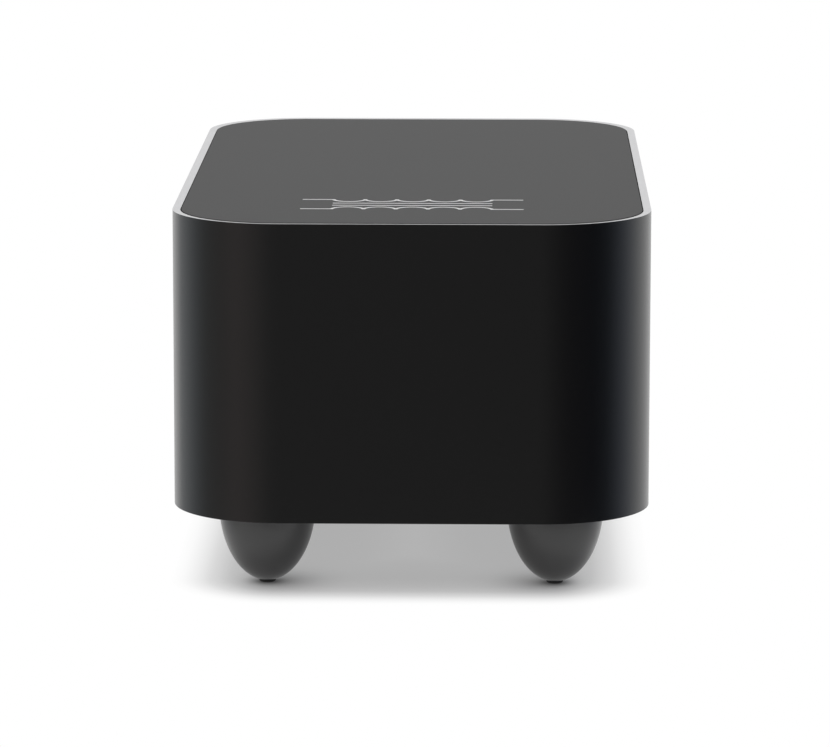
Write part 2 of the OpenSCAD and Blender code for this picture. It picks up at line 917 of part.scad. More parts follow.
// A centre contact: a tube for the plug's pin, with a thinner solder tail behind
module socket_contact(at) {
    color([0.88, 0.7, 0.32])
        on_rear(at)
            rotate_extrude()
                polygon([
                    [0, tail_low], [tail_r, tail_low], [tail_r, neck_low], [contact_r, neck_low],
                    [contact_r, contact_top], [contact_bore_r + contact_mouth, contact_top],
                    [contact_bore_r, contact_top - contact_mouth],
                    [contact_bore_r, contact_top - contact_bore_l], [0, contact_top - contact_bore_l]
                ]);
}

module socket_dielectrics() {
    color([0.92, 0.92, 0.9])
        for (at = SOCKETS)
            on_rear(at)
                translate([0, 0, neck_low])
                    washer(dielectric_r - press_gap, dielectric_top - neck_low, contact_r + press_gap);
}

// An insulating ring: a flange outside the wall and a shoulder in the wall's hole
module socket_ring(at) {
    on_rear(at)
        rotate_extrude()
            polygon([
                [neck_r + screw_gap, -wall + fit], [hole_r - screw_gap, -wall + fit], [hole_r - screw_gap, 0],
                [ring_r, 0], [ring_r, ring_t - chamfer],
                [ring_r - chamfer, ring_t], [neck_r + screw_gap, ring_t]
            ]);
}

module socket_rings_white() {
    color([0.9, 0.9, 0.88])
        for (at = [input_left, output_left])
            socket_ring(at);
}

module socket_rings_red() {
    color([0.75, 0.05, 0.05])
        for (at = [input_right, output_right])
            socket_ring(at);
}

module socket_washers() {
    color([0.9, 0.9, 0.88])
        for (at = SOCKETS)
            on_rear(at)
                translate([0, 0, -wall - socket_washer_t])
                    washer(ring_r, socket_washer_t, neck_r + screw_gap);
}

module socket_lugs() {
    color([0.8, 0.75, 0.6])
        for (at = SOCKETS)
            on_rear(at)
                translate([0, 0, -wall - socket_washer_t - lug_t])
                    lug(socket_lug_r, neck_r + screw_gap, tab_l);
}

module socket_nuts() {
    color([0.8, 0.65, 0.3])
        for (at = SOCKETS)
            on_rear(at)
                translate([0, 0, -wall - socket_washer_t - lug_t - socket_nut_t])
                    hex_nut(flange_af, socket_nut_t, neck_r + screw_gap);
}

module ground_stud() {
    color([0.85, 0.68, 0.3])
        on_rear([0, socket_mid_z])
            union() {
                hex_prism(stud_flange_af, stud_flange_t, false);
                rotate_extrude()
                    polygon([
                        [0, stud_low], [stud_r - chamfer, stud_low], [stud_r, stud_low + chamfer],
                        [stud_r, stud_top - chamfer], [stud_r - chamfer, stud_top], [0, stud_top]
                    ]);
            }
}

module ground_stud_nut() {
    color([0.8, 0.65, 0.3])
        on_rear([0, socket_mid_z])
            translate([0, 0, -wall - lug_t - stud_nut_t])
                hex_nut(stud_nut_af, stud_nut_t, stud_r + screw_gap);
}

// One lug on the ground stud, inside the wall, and one under a foot's screw
module earth_lugs() {
    color([0.8, 0.75, 0.6]) {
        on_rear([0, socket_mid_z])
            translate([0, 0, -wall - lug_t])
                lug(earth_lug_r, stud_r + screw_gap, tab_l);
        translate([earth_foot[0] * foot_x, earth_foot[1] * foot_y, base_top])
            lug(washer_r, m4_r + screw_gap, earth_tab_l);
    }
}

// From the lug under the foot's screw up the rear wall, between the two sockets, to the ground stud's lug
module ground_wire() {
    low = [earth_foot[0] * foot_x, foot_y + washer_r + earth_tab_l - 2, base_top + lug_t];
    high = [0, rear_face - wall - lug_t, socket_mid_z - earth_lug_r - tab_l / 2];
    run_y = high[1] - 7;
    path = concat(
        [
            low, low + [0, 0, 3],
            [low[0] - 1, run_y - 1, (low[2] + socket_mid_z) / 2],
            [(low[0] + inputs_x) / 2, run_y, socket_mid_z - 4],
            [inputs_x, run_y, socket_mid_z - 2],
            [inputs_x / 2, run_y, socket_mid_z - 3]
        ],
        straight_in(high)
    );
    color([0.15, 0.45, 0.2])
        tube(smooth(path, lead_step), lead_r, 8);
}

module ground_clamp_washer() {
    color([0.85, 0.68, 0.3])
        on_rear([0, socket_mid_z])
            translate([0, 0, stud_flange_t])
                washer(clamp_r, clamp_t, stud_r + clamp_gap);
}

// A thumb nut: a plain collar and a rim with straight grooves
module ground_thumb_nut() {
    color([0.88, 0.7, 0.32])
        on_rear([0, socket_mid_z])
            translate([0, 0, thumb_low])
                difference() {
                    rotate_extrude()
                        polygon([
                            [0, 0], [collar_r, 0], [collar_r, collar_l], [thumb_r - chamfer, collar_l],
                            [thumb_r, collar_l + chamfer], [thumb_r, thumb_l - chamfer],
                            [thumb_r - chamfer, thumb_l], [0, thumb_l]
                        ]);
                    translate([0, 0, -eps])
                        cylinder(h = thumb_l + 2 * eps, r = stud_r + thread_gap);
                    for (k = [0:knurls - 1])
                        rotate([0, 0, 360 * k / knurls])
                            translate([thumb_r + knurl_out, 0, collar_l - eps])
                                cylinder(h = thumb_l + 2 * eps, r = knurl_r, $fn = 24);
                }
}

// Places a piece of the case in the object's frame
module placed() {
    translate([0, case_y, case_z])
        children();
}

placed() outer_case();
placed() top_plate();
placed() top_adhesive();
placed() top_carrier();
placed() carrier_screws();
placed() base_plate();
placed() base_screws();
placed() foot(-1, -1);  // foot_front_left
placed() foot(1, -1);  // foot_front_right
placed() foot(-1, 1);  // foot_rear_left
placed() foot(1, 1);  // foot_rear_right
placed() foot_pads();
placed() foot_screws();
placed() foot_washers();
placed() shield_can(left_can, left_exits);  // left_shield_can
placed() shield_lid(left_can);  // left_shield_lid
placed() core(left_can);  // left_core
placed() secondary_winding(left_can);  // left_secondary_winding
placed() winding_tape(left_can, left_exits);  // left_winding_tape
placed() primary_winding(left_can, left_exits);  // left_primary_winding
placed() shield_can(right_can, right_exits);  // right_shield_can
placed() shield_lid(right_can);  // right_shield_lid
placed() core(right_can);  // right_core
placed() secondary_winding(right_can);  // right_secondary_winding
placed() winding_tape(right_can, right_exits);  // right_winding_tape
placed() primary_winding(right_can, right_exits);  // right_primary_winding
placed() can_cushions();
placed() coil_cushions();
placed() centre_bolts();
placed() dished_washers();
placed() centre_nuts();
placed() lead_grommets();
placed() left_primary_leads();
placed() left_secondary_leads();
placed() right_primary_leads();
placed() right_secondary_leads();
placed() socket_shell(input_left);  // input_left_shell
placed() socket_shell(input_right);  // input_right_shell
placed() socket_shell(output_left);  // output_left_shell
placed() socket_shell(output_right);  // output_right_shell
placed() socket_contact(input_left);  // input_left_contact
placed() socket_contact(input_right);  // input_right_contact
placed() socket_contact(output_left);  // output_left_contact
placed() socket_contact(output_right);  // output_right_contact
placed() socket_dielectrics();
placed() socket_rings_white();
placed() socket_rings_red();
placed() socket_washers();
placed() socket_lugs();
placed() socket_nuts();
placed() ground_stud();
placed() ground_stud_nut();
placed() earth_lugs();
placed() ground_wire();
placed() ground_clamp_washer();
placed() ground_thumb_nut();
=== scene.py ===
"""Looks of a moving coil step-up transformer: a black sleeve on four feet, with two ring coils inside."""

import math

import bmesh
import bpy
from bpy.props import FloatProperty, FloatVectorProperty, IntProperty, PointerProperty
from bpy.types import Operator, Panel, PropertyGroup
from mathutils import Matrix, Vector


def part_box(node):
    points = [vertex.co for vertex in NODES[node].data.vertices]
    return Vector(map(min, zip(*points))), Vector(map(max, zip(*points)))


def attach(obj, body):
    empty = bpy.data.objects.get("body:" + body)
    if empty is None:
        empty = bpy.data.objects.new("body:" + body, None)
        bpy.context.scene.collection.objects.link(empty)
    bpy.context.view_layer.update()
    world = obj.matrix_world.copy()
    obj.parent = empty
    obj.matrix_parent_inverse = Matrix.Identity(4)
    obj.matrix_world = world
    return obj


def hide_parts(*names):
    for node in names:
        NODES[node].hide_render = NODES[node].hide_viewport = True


bl_info = {
    "name": "Step-up transformer",
    "version": (1, 0, 0),
    "blender": (4, 5, 0),
    "location": "3D View > Sidebar > Step-up",
    "description": "Finishes, windings, wiring and studio of a moving coil step-up transformer",
    "category": "Object",
}

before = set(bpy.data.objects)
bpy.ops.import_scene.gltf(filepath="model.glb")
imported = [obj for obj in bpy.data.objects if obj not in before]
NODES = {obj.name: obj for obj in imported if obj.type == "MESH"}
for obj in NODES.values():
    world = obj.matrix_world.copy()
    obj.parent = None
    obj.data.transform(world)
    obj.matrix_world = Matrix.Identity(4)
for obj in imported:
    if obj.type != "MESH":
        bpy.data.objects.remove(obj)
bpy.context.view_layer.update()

# Places that the pieces are worked out from
CASE_LOW, CASE_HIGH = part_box("outer_case")
CASE_MID = (CASE_LOW + CASE_HIGH) / 2
CASE_HALF = (CASE_HIGH.x, (CASE_HIGH.y - CASE_LOW.y) / 2)
REAR = CASE_HIGH.y
SIDES = ("left", "right")
FOOT_PLACES = ("front_left", "front_right", "rear_left", "rear_right")
SOCKETS = ("input_left", "input_right", "output_left", "output_right")

# Steps of a quarter turn at the case's corners, and of a full turn of each kind of round piece or wire
CORNER_STEPS = 40
COIL_STEPS = 120
WIDE_STEPS = 96
SMALL_STEPS = 48
SCREW_STEPS = 36
DROP_STEPS = 24
WIRE_SIDES = 12
FINE_SIDES = 6
# Rings of a skin in each turn of a thread, and in each wrap of tape
THREAD_RINGS = 8
WRAP_RINGS = 8
# Width of the stretch beside a corner's arc that keeps the flat side's shading flat
SUPPORT = 0.0004
# Angles in degrees at which smooth shading breaks, on hard pieces, threads, eased nodes and round coils
CREASE = 32
THREAD_CREASE = 40
EASED_CREASE = 46
SOFT_CREASE = 60
# Angle in degrees between faces that still count as one flat face
FLAT = 0.4


def middle(node):
    low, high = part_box(node)
    return (low + high) / 2


def size(text, default, description):
    """A size in metres that a user may change."""
    return FloatProperty(
        name=text, description=description, default=default, min=0.0, precision=5, unit="LENGTH")


def share(text, default, description):
    """A plain number between nothing and one."""
    return FloatProperty(name=text, description=description, default=default, min=0.0, max=1.0, precision=3)


def tone(text, default, description):
    """A colour in linear light."""
    return FloatVectorProperty(
        name=text, description=description, default=default, min=0.0, max=1.0, subtype="COLOR")


def tilt(text, default, description):
    """An angle in radians."""
    return FloatProperty(name=text, description=description, default=default, subtype="ANGLE")


def whole(text, default, least, most, description):
    """A whole number between two others."""
    return IntProperty(name=text, description=description, default=default, min=least, max=most)


class CaseSettings(PropertyGroup):
    """The sleeve"""

    corner_radius: size("Corner radius", 0.0275, "Outer radius of the sleeve's upright corners")
    wall: size("Wall", 0.002, "Thickness of the sleeve's wall")
    rim_land: size("Rim land", 0.0002, "Width of the level land along the rim's outer edge")
    rim_fall: size("Rim fall", 0.00019, "Fall of the rim from its outer to its inner edge")
    rim_edge: size("Rim edge", 0.00003, "Bevel of the rim's outer edge")
    edge: size("Edge", 0.00005, "Width of the sleeve's eased edges")
    hole_radius: size("Socket hole", 0.005, "Radius of the holes for the sockets")
    stud_hole_radius: size("Stud hole", 0.00205, "Radius of the hole for the ground stud")
    channel_radius: size("Screw channel", 0.0045, "Radius of the screw channels in the corners")
    screw_hole_radius: size("Screw hole", 0.0015, "Radius of the bore in a screw channel")
    body: tone("Body", (0.0052, 0.0051, 0.0051), "Colour of the black finish")
    roughness: share("Roughness", 0.24, "Roughness of the black finish")
    rim: tone("Rim", (0.585, 0.585, 0.595), "Colour of the bare rim")


class TopSettings(PropertyGroup):
    """The top plate and its sign"""

    edge: size("Edge", 0.00004, "Width of the plate's eased edge")
    plate: tone("Plate", (0.024, 0.024, 0.024), "Colour of the plate")
    roughness: share("Roughness", 0.62, "Roughness of the plate")
    mark_width: size("Mark width", 0.056, "Width of the transformer sign on the plate")
    mark_distance: size("Mark distance", 0.033, "Distance of the sign's middle from the plate's front edge")
    mark_gap: size("Mark gap", 0.0048, "Distance of the sign's humps from its middle line")
    coil_share: share("Coil share", 0.72, "Part of the sign's width that the humps take")
    core_share: share("Core share", 0.4, "Place of a core line between the middle line and the humps")
    line: size("Line", 0.0009, "Width of a printed line")
    ink: size("Ink", 0.00003, "Thickness of a printed line")
    humps: whole("Humps", 5, 2, 8, "Half turns in each coil of the sign")


class FootSettings(PropertyGroup):
    """The feet"""

    tip_radius: size("Tip radius", 0.0023, "Radius of the flat at a foot's tip")
    bore_radius: size("Bore radius", 0.002, "Radius of the threaded bore")
    bore_depth: size("Bore depth", 0.012, "Depth of the threaded bore")
    pocket_radius: size("Pocket radius", 0.00215, "Radius of the pocket for the pad")
    pocket_depth: size("Pocket depth", 0.0012, "Depth of the pocket for the pad")
    pad_radius: size("Pad radius", 0.0021, "Radius of a rubber pad")
    pad_edge: size("Pad edge", 0.0005, "Radius of a rubber pad's round edge")
    paint: tone("Foot", (0.075, 0.075, 0.075), "Colour of the feet")
    roughness: share("Roughness", 0.3, "Roughness of the feet")


class CoilSettings(PropertyGroup):
    """The ring coils"""

    mean_radius: size("Mean radius", 0.0175, "Radius of the ring through the middle of the core's section")
    strip: size("Core strip", 0.0003, "Thickness of the strip that the core is wound from")
    tape: size("Tape", 0.0004, "Thickness of the tape")
    lap: size("Lap", 0.00012, "Step of the tape's surface where a wrap ends")
    slant: FloatProperty(name="Slant", default=1.2, min=0.0,
                         description="Wraps that an edge of the tape slants by round the section")
    slope: FloatProperty(name="Slope", description="How steeply the tape comes down to the wrap below",
                         default=1.15, min=1.0)
    wire: size("Primary wire", 0.0006, "Radius of the primary wire")
    turns: whole("Primary turns", 14, 8, 16, "Turns of the primary winding")
    fine_wire: size("Secondary wire", 0.00016, "Radius of the secondary wire")
    fine_turns: whole("Secondary turns", 150, 40, 170, "Turns in the outer layer of the secondary winding")
    wraps: whole("Tape wraps", 34, 10, 60, "Turns of the tape round the ring")
    apart: size("Leads apart", 0.0025, "Distance between the two leads of a winding")
    stub: size("Stub", 0.004, "Length of the primary winding's straight ends")
    stub_bend: size("Stub bend", 0.0016, "Radius of the bend before a straight end")
    smooth_step: size("Smooth step", 0.001, "Distance between two points of the primary wire's smooth line")


class LeadSettings(PropertyGroup):
    """The inner wiring"""

    radius: size("Lead radius", 0.0007, "Radius of a lead with its insulation")
    gap: size("Gap", 0.0002, "Gap between a lead and the base plate that it runs over")
    step: size("Step", 0.0012, "Distance between two points of a lead's smooth line")
    solder: size("Solder", 0.0012, "Radius of a solder joint")


class TerminalSettings(PropertyGroup):
    """The ground terminal and the rear wall's letters"""

    stud_radius: size("Stud radius", 0.00195, "Radius of the ground stud over its thread")
    thread_pitch: size("Thread pitch", 0.0007, "Pitch of the ground stud's thread")
    thread_depth: size("Thread depth", 0.00034, "Depth of the ground stud's thread")
    flange_width: size("Flange width", 0.009, "Width across the flats of the stud's flange")
    flange_height: size("Flange height", 0.002, "Height of the stud's flange")
    bore_radius: size("Nut bore", 0.0021, "Radius of the thumb nut's bore")
    collar_height: size("Collar height", 0.0016, "Height of the thumb nut's plain collar")
    collar_radius: size("Collar radius", 0.0042, "Radius of the thumb nut's plain collar")
    knurl_depth: size("Knurl depth", 0.0003, "Depth of the thumb nut's grooves")
    knurl_radius: size("Knurl radius", 0.00045, "Radius of the thumb nut's round grooves")
    knurls: whole("Knurls", 24, 8, 60, "Grooves of the thumb nut")
    letter: size("Letter", 0.0036, "Height of the rear wall's letters")


class StageSettings(PropertyGroup):
    """Camera, light and floor"""

    lens: FloatProperty(name="Lens", description="Focal length on a sensor 36 mm wide", default=209.31,
                        unit="CAMERA")
    eye: FloatVectorProperty(name="Eye", description="Place of the camera", subtype="TRANSLATION",
                             default=(0.02156, -1.28254, 0.26538), precision=5)
    pitch: tilt("Pitch", 0.17553, "Downward tilt of the camera")
    heading: tilt("Heading", 0.017289, "Turn of the camera to the left")
    roll: tilt("Roll", 0.001207, "Turn of the camera about its own axis")
    floor: share("Floor", 0.8, "Lightness of the floor")
    # Painted contact shadows on the floor round each pad: a darker spot that lets more real shade show, and
    # a painted black core
    contact: share("Contact", 0.67, "Strength of the darker spot round each pad")
    contact_reach: size("Contact reach", 0.0112, "Radius of the darker spot round each pad")
    outward: FloatProperty(name="Outward", default=1.0, min=0.0,
                           description="How much sooner the spot fades on a foot's outer side")
    core: share("Core", 0.8, "Strength of the spot's core")
    core_reach: size("Core reach", 0.0038, "Radius of the spot's core")
    # Inset of the painted floor shadow's outline: narrower at each side and longer at each end
    painted_shadow_inset: size("Side light", 0.0009, "How far the shadow draws in at each side and out at each end")
    floor_reach: size("Floor reach", 0.34, "Distance from the middle to the floor's edge")
    floor_margin: size("Floor margin", 0.03, "How far the floor's inner part reaches past the case")
    wall_radius: size("Wall radius", 2.3, "Distance of the dim wall behind the camera")
    wall_above: size("Wall above", 1.9, "Height of the dim wall over the floor")
    wall_below: size("Wall below", 3.5, "Depth of the dim wall under the floor")


# The dim wall's colour at angles in degrees, from the object's left side over the front to its right
WALL_TONES = [
    (-135, (0.77, 0.79, 0.81)), (-112, (0.75, 0.79, 0.82)), (-98, (0.59, 0.63, 0.66)),
    (-83, (0.43, 0.44, 0.44)), (-64, (0.44, 0.42, 0.41)), (-46, (0.58, 0.52, 0.51)),
    (-28, (0.45, 0.42, 0.41)), (-12, (0.27, 0.27, 0.27)), (0, (0.25, 0.25, 0.25)),
    (10, (0.18, 0.18, 0.18)), (26, (0.09, 0.09, 0.10)), (56, (0.045, 0.05, 0.07)),
    (72, (0.10, 0.12, 0.15)), (90, (0.39, 0.43, 0.51)), (104, (0.69, 0.73, 0.80)),
    (120, (0.97, 0.99, 1.0)), (135, (1.0, 1.0, 1.0)),
]
WALL_STEPS = 128
# Painted shadow on the floor: how much of the floor's own white is left at distances in metres from the
# case's outline, negative under it. Where white is left out, the floor's real shade shows.
SHADE_TONES = [
    (-0.06, 0.43), (-0.045, 0.40), (-0.028, 0.385), (-0.0187, 0.41), (-0.0133, 0.45), (-0.008, 0.62),
    (-0.0055, 0.75), (-0.0027, 0.87), (-0.001, 0.94), (0.002, 1.0),
]


class Signal:
    """An output socket that takes part in plain arithmetic."""

    def __init__(self, tree, socket):
        self.tree = tree
        self.socket = socket

    def __add__(self, other):
        return self.tree.maths("ADD", self, other)

    def __radd__(self, other):
        return self.tree.maths("ADD", other, self)

    def __sub__(self, other):
        return self.tree.maths("SUBTRACT", self, other)

    def __rsub__(self, other):
        return self.tree.maths("SUBTRACT", other, self)

    def __mul__(self, other):
        return self.tree.maths("MULTIPLY", self, other)

    def __rmul__(self, other):
        return self.tree.maths("MULTIPLY", other, self)

    def __truediv__(self, other):
        return self.tree.maths("DIVIDE", self, other)

    def __abs__(self):
        return self.tree.maths("ABSOLUTE", self)


class Tree:
    """A node tree under construction."""

    def __init__(self, tree):
        self.tree = tree
        self.tree.nodes.clear()

    def node(self, kind, inputs=None, output=0, **settings):
        """Adds a node, sets its settings, then its sockets' values or links, and returns one output."""
        made = self.tree.nodes.new(kind)
        for name, value in settings.items():
            if name == "stops":
                self.set_stops(made.color_ramp, value)
            else:
                setattr(made, name, value)
        for name, value in (inputs or {}).items():
            if isinstance(value, Signal):
                self.tree.links.new(value.socket, made.inputs[name])
            else:
                made.inputs[name].default_value = value
        return Signal(self, made.outputs[output]) if len(made.outputs) else made

    def set_stops(self, ramp, stops):
        while len(ramp.elements) < len(stops):
            ramp.elements.new(1.0)
        for element, (place, value) in zip(ramp.elements, stops):
            element.position = place
            element.color = (*value, 1.0)

    def maths(self, operation, *values):
        return self.node("ShaderNodeMath", dict(enumerate(values)), operation=operation)


class Finish(Tree):
    """A material, built by plain expressions on its pattern's signals."""

    def __init__(self, name):
        self.material = bpy.data.materials.new(name)
        self.material.use_nodes = True
        super().__init__(self.material.node_tree)

    def place(self):
        """Object coordinates, in metres."""
        return self.node("ShaderNodeTexCoord", output="Object")

    def axes(self):
        """The three numbers of the place."""
        first = self.node("ShaderNodeSeparateXYZ", {0: self.place()})
        return [Signal(self, socket) for socket in first.socket.node.outputs]

    def ramp(self, value, tones):
        """A tone or colour that follows a number, by listed pairs of both."""
        first, last = tones[0][0], tones[-1][0]
        stops = []
        for at, shown in tones:
            colour = shown if isinstance(shown, tuple) else (shown, shown, shown)
            stops.append(((at - first) / (last - first), colour))
        return self.node("ShaderNodeValToRGB", {0: (value - first) / (last - first)}, stops=stops)

    def length(self, first, second):
        """Length of a way with two square parts."""
        return self.maths("SQRT", first * first + second * second)

    def bell(self, number):
        """One at nothing, which falls off to nothing like a bell."""
        return self.maths("EXPONENT", 0.0 - number * number)

    def wave(self, number):
        """A wave between nothing and one that repeats at every whole number."""
        return self.maths("SINE", number * math.tau) * 0.5 + 0.5

    def noise(self, scale, detail=3.0, stretch=(1.0, 1.0, 1.0)):
        """Smooth noise between nothing and one, with scale in cells a metre."""
        at = self.node("ShaderNodeMapping", {"Vector": self.place(), "Scale": stretch})
        return self.node("ShaderNodeTexNoise", {"Vector": at, "Scale": scale, "Detail": detail})

    def blend(self, mask, low, high):
        """A colour that goes from low to high with the mask."""
        return self.node("ShaderNodeMix", {0: mask, 6: (*low, 1.0), 7: (*high, 1.0)}, 2, data_type="RGBA")

    def bump(self, height, depth):
        """A normal bent by a pattern that stands out by a depth in metres."""
        return self.node("ShaderNodeBump", {"Height": height, "Distance": depth, "Strength": 1.0})

    def end(self, shader):
        self.node("ShaderNodeOutputMaterial", {"Surface": shader})
        return self.material

    def surface(self, inputs):
        """Ends the tree in the main shader with these inputs."""
        return self.end(self.node("ShaderNodeBsdfPrincipled", inputs))


def grained(name, colour, shades, cloud, grain, roughness, spread, depth, others=None):
    """A finish whose colour follows a slow cloud, and whose gloss and relief follow a fine grain.

    The shades are the least and greatest parts of the colour, and cloud and grain are noises. Roughness is
    the middle of its spread, and depth is the relief's in metres."""
    finish = Finish(name)
    fine = finish.noise(*grain)
    low, high = [tuple(value * part for value in colour) for part in shades]
    return finish.surface({
        "Base Color": finish.blend(finish.noise(*cloud), low, high),
        "Roughness": roughness - spread / 2 + spread * fine,
        "Normal": finish.bump(fine, depth),
        **(others or {}),
    })


def satin_black(settings):
    """Fine blasted and black anodised aluminium"""
    return grained("satin_black", settings.body, (0.92, 1.08), (35.0, 2.0), (5200.0, 2.0),
                   settings.roughness, 0.06, 0.0000006)


def machined_rim(settings):
    """Bare aluminium, milled along the rim"""
    return grained("machined_rim", settings.rim, (0.97, 1.03), (60.0, 2.0), (900.0, 4.0, (1.0, 0.12, 1.0)),
                   0.36, 0.12, 0.000001, {"Metallic": 1.0})


def matt_top(settings):
    """Matt black plate with a fine even texture"""
    return grained("matt_top", settings.plate, (0.97, 1.03), (22.0, 2.0), (3800.0, 3.0),
                   settings.roughness, 0.08, 0.000002, {"Specular IOR Level": 0.4})


def foot_paint(settings):
    """Dark grey satin of the feet"""
    return grained("foot_paint", settings.paint, (0.95, 1.05), (160.0, 3.0), (4200.0, 2.0),
                   settings.roughness, 0.06, 0.0000008)


def metal(name, colour, roughness, grains, depth):
    """A metal with a fine grain and a faint cloud of tarnish"""
    return grained(name, colour, (0.93, 1.0), (180.0, 3.0), (grains, 3.0), roughness, 0.1, depth,
                   {"Metallic": 1.0})


def plastic(name, colour, roughness, grains, depth):
    """Rubber, plastic or paint with a fine grain"""
    return grained(name, colour, (0.92, 1.04), (120.0, 2.0), (grains, 3.0), roughness, 0.1, depth)


def strip_core(name, centre, strip):
    """The edges of a core's wound strip"""
    finish = Finish(name)
    x, y, _ = finish.axes()
    layers = finish.wave(finish.length(x - centre[0], y - centre[1]) / strip)
    return finish.surface({
        "Base Color": finish.blend(layers, (0.20, 0.20, 0.22), (0.42, 0.42, 0.44)),
        "Roughness": 0.35 + 0.2 * layers,
        "Metallic": 1.0,
        "Normal": finish.bump(layers, strip / 10),
    })


def winding_copper(name):
    """Enamelled copper wire"""
    finish = Finish(name)
    cloud = finish.noise(400.0, 2.0)
    return finish.surface({
        "Base Color": finish.blend(cloud, (0.55, 0.17, 0.05), (0.75, 0.27, 0.09)),
        "Roughness": 0.22 + 0.12 * cloud,
        "Metallic": 0.85 + 0.1 * cloud,
    })


def amber_tape(name):
    """Amber polyester tape"""
    finish = Finish(name)
    cloud = finish.noise(300.0, 3.0)
    weave = finish.noise(2500.0, 2.0, (1.0, 1.0, 0.2))
    return finish.surface({
        "Base Color": finish.blend(cloud, (0.62, 0.40, 0.06), (0.75, 0.52, 0.11)),
        "Roughness": 0.3 + 0.15 * cloud,
        "Normal": finish.bump(weave, 0.000004),
    })


def silver_wire(name):
    """Silver wire in clear insulation"""
    finish = Finish(name)
    cloud = finish.noise(500.0, 2.0)
    return finish.surface({
        "Base Color": finish.blend(cloud, (0.72, 0.72, 0.74), (0.85, 0.85, 0.86)),
        "Roughness": 0.25 + 0.1 * cloud,
        "Metallic": 1.0,
        "Coat Weight": 0.6 + 0.2 * cloud,
    })


# Finishes by name: kind, then colour, roughness, grains a metre and their height in metres
FINISHES = {
    "adhesive": (plastic, (0.75, 0.75, 0.70), 0.45, 900.0, 0.000004),
    "zinc_steel": (metal, (0.56, 0.57, 0.59), 0.34, 1500.0, 0.000002),
    "screw_steel": (metal, (0.42, 0.42, 0.43), 0.34, 2600.0, 0.000001),
    "base_black": (plastic, (0.018, 0.018, 0.018), 0.55, 1600.0, 0.00002),
    "black_screw": (metal, (0.07, 0.07, 0.075), 0.4, 2600.0, 0.000001),
    "pad_rubber": (plastic, (0.012, 0.012, 0.012), 0.7, 2600.0, 0.00002),
    "shield_alloy": (metal, (0.50, 0.49, 0.465), 0.38, 700.0, 0.000003),
    "lead_white": (plastic, (0.75, 0.75, 0.72), 0.35, 900.0, 0.000002),
    "lead_blue": (plastic, (0.03, 0.08, 0.38), 0.35, 900.0, 0.000002),
    "lead_red": (plastic, (0.50, 0.02, 0.02), 0.35, 900.0, 0.000002),
    "lead_orange": (plastic, (0.75, 0.22, 0.02), 0.35, 900.0, 0.000002),
    "lead_green": (plastic, (0.03, 0.26, 0.05), 0.35, 900.0, 0.000002),
    "gold_plate": (metal, (0.90, 0.62, 0.24), 0.2, 3000.0, 0.0000004),
    "socket_white": (plastic, (0.78, 0.78, 0.75), 0.28, 700.0, 0.000002),
    "socket_red": (plastic, (0.50, 0.012, 0.012), 0.28, 700.0, 0.000002),
    "tinned_brass": (metal, (0.68, 0.65, 0.57), 0.3, 1800.0, 0.000002),
    "white_ink": (plastic, (0.80, 0.80, 0.80), 0.55, 3000.0, 0.000001),
    "winding_copper": (winding_copper,),
    "amber_tape": (amber_tape,),
    "silver_wire": (silver_wire,),
}
made_finishes = {}


def finish_of(name):
    """The one finish of a name, made when it is first asked for."""
    if name not in made_finishes:
        kind, *values = FINISHES[name]
        made_finishes[name] = kind(name, *values)
    return made_finishes[name]


def polar(radius, angle, height=0.0):
    """The point at a radius and an angle round Z."""
    return Vector((radius * math.cos(angle), radius * math.sin(angle), height))


def link(name, data):
    piece = bpy.data.objects.new(name, data)
    bpy.context.scene.collection.objects.link(piece)
    return piece


def skin(name, points, faces):
    """A piece from points and faces, with its doubles merged and every face turned outwards."""
    mesh = bpy.data.meshes.new(name)
    mesh.from_pydata(points, [], faces)
    work = bmesh.new()
    work.from_mesh(mesh)
    bmesh.ops.remove_doubles(work, verts=work.verts, dist=1e-7)
    loose = [edge for edge in work.edges if not edge.link_faces]
    bmesh.ops.delete(work, geom=loose, context="EDGES")
    bmesh.ops.recalc_face_normals(work, faces=work.faces)
    work.to_mesh(mesh)
    work.free()
    return link(name, mesh)


def loft(rings, closed=False, capped=False):
    """Points and faces of a skin over rings of equal length.

    Closed joins the last ring to the first, and capped fills both ends."""
    count = len(rings[0])
    points = [point for ring in rings for point in ring]
    spans = len(rings) if closed else len(rings) - 1
    faces = []
    for i in range(spans):
        low = i * count
        high = (i + 1) % len(rings) * count
        for k in range(count):
            n = (k + 1) % count
            faces.append((low + k, low + n, high + n, high + k))
    if capped:
        faces.append(tuple(range(count)))
        faces.append(tuple(range(len(points) - count, len(points))))
    return points, faces


def together(skins):
    """Several skins as one."""
    points = []
    faces = []
    for more, sides in skins:
        shift = len(points)
        points += more
        faces += [tuple(corner + shift for corner in side) for side in sides]
    return points, faces


def moved(part, matrix):
    """A skin turned and moved into place."""
    points, faces = part
    return [matrix @ Vector(point) for point in points], faces


def standing(part, centre):
    """A turned skin moved onto a place's upright axis."""
    return moved(part, Matrix.Translation((centre.x, centre.y, 0)))


def turned(profile, steps):
    """A skin turned about Z, from a profile of places that are a radius and a height.

    A radius is a number, or a function that gives it at an angle."""
    angles = [math.tau * k / steps for k in range(steps)]
    rings = [[polar(radius(angle) if callable(radius) else radius, angle, height) for angle in angles]
             for radius, height in profile]
    return loft(rings, closed=True)


def hexagon(across):
    """Radius of a hexagon at an angle, with a corner at angle zero."""
    return lambda angle: across / 2 / math.cos(angle % (math.pi / 3) - math.pi / 6)


def cut_hexagon(across, limit):
    """A hexagon whose corners are turned down to a radius."""
    return lambda angle: min(hexagon(across)(angle), limit)


def thread(root, crest, pitch, low, high):
    """A profile's stretch with a helical thread, which has flat roots and crests and sloping flanks."""
    rings = round((high - low) / pitch * THREAD_RINGS)

    def reach(height):
        def at(angle):
            phase = (height / pitch - angle / math.tau) % 1
            return root + (crest - root) * min(max(1.5 * abs(2 * phase - 1) - 0.25, 0), 1)
        return at

    heights = [low + (high - low) * k / rings for k in range(rings + 1)]
    return [(reach(height), height) for height in heights]


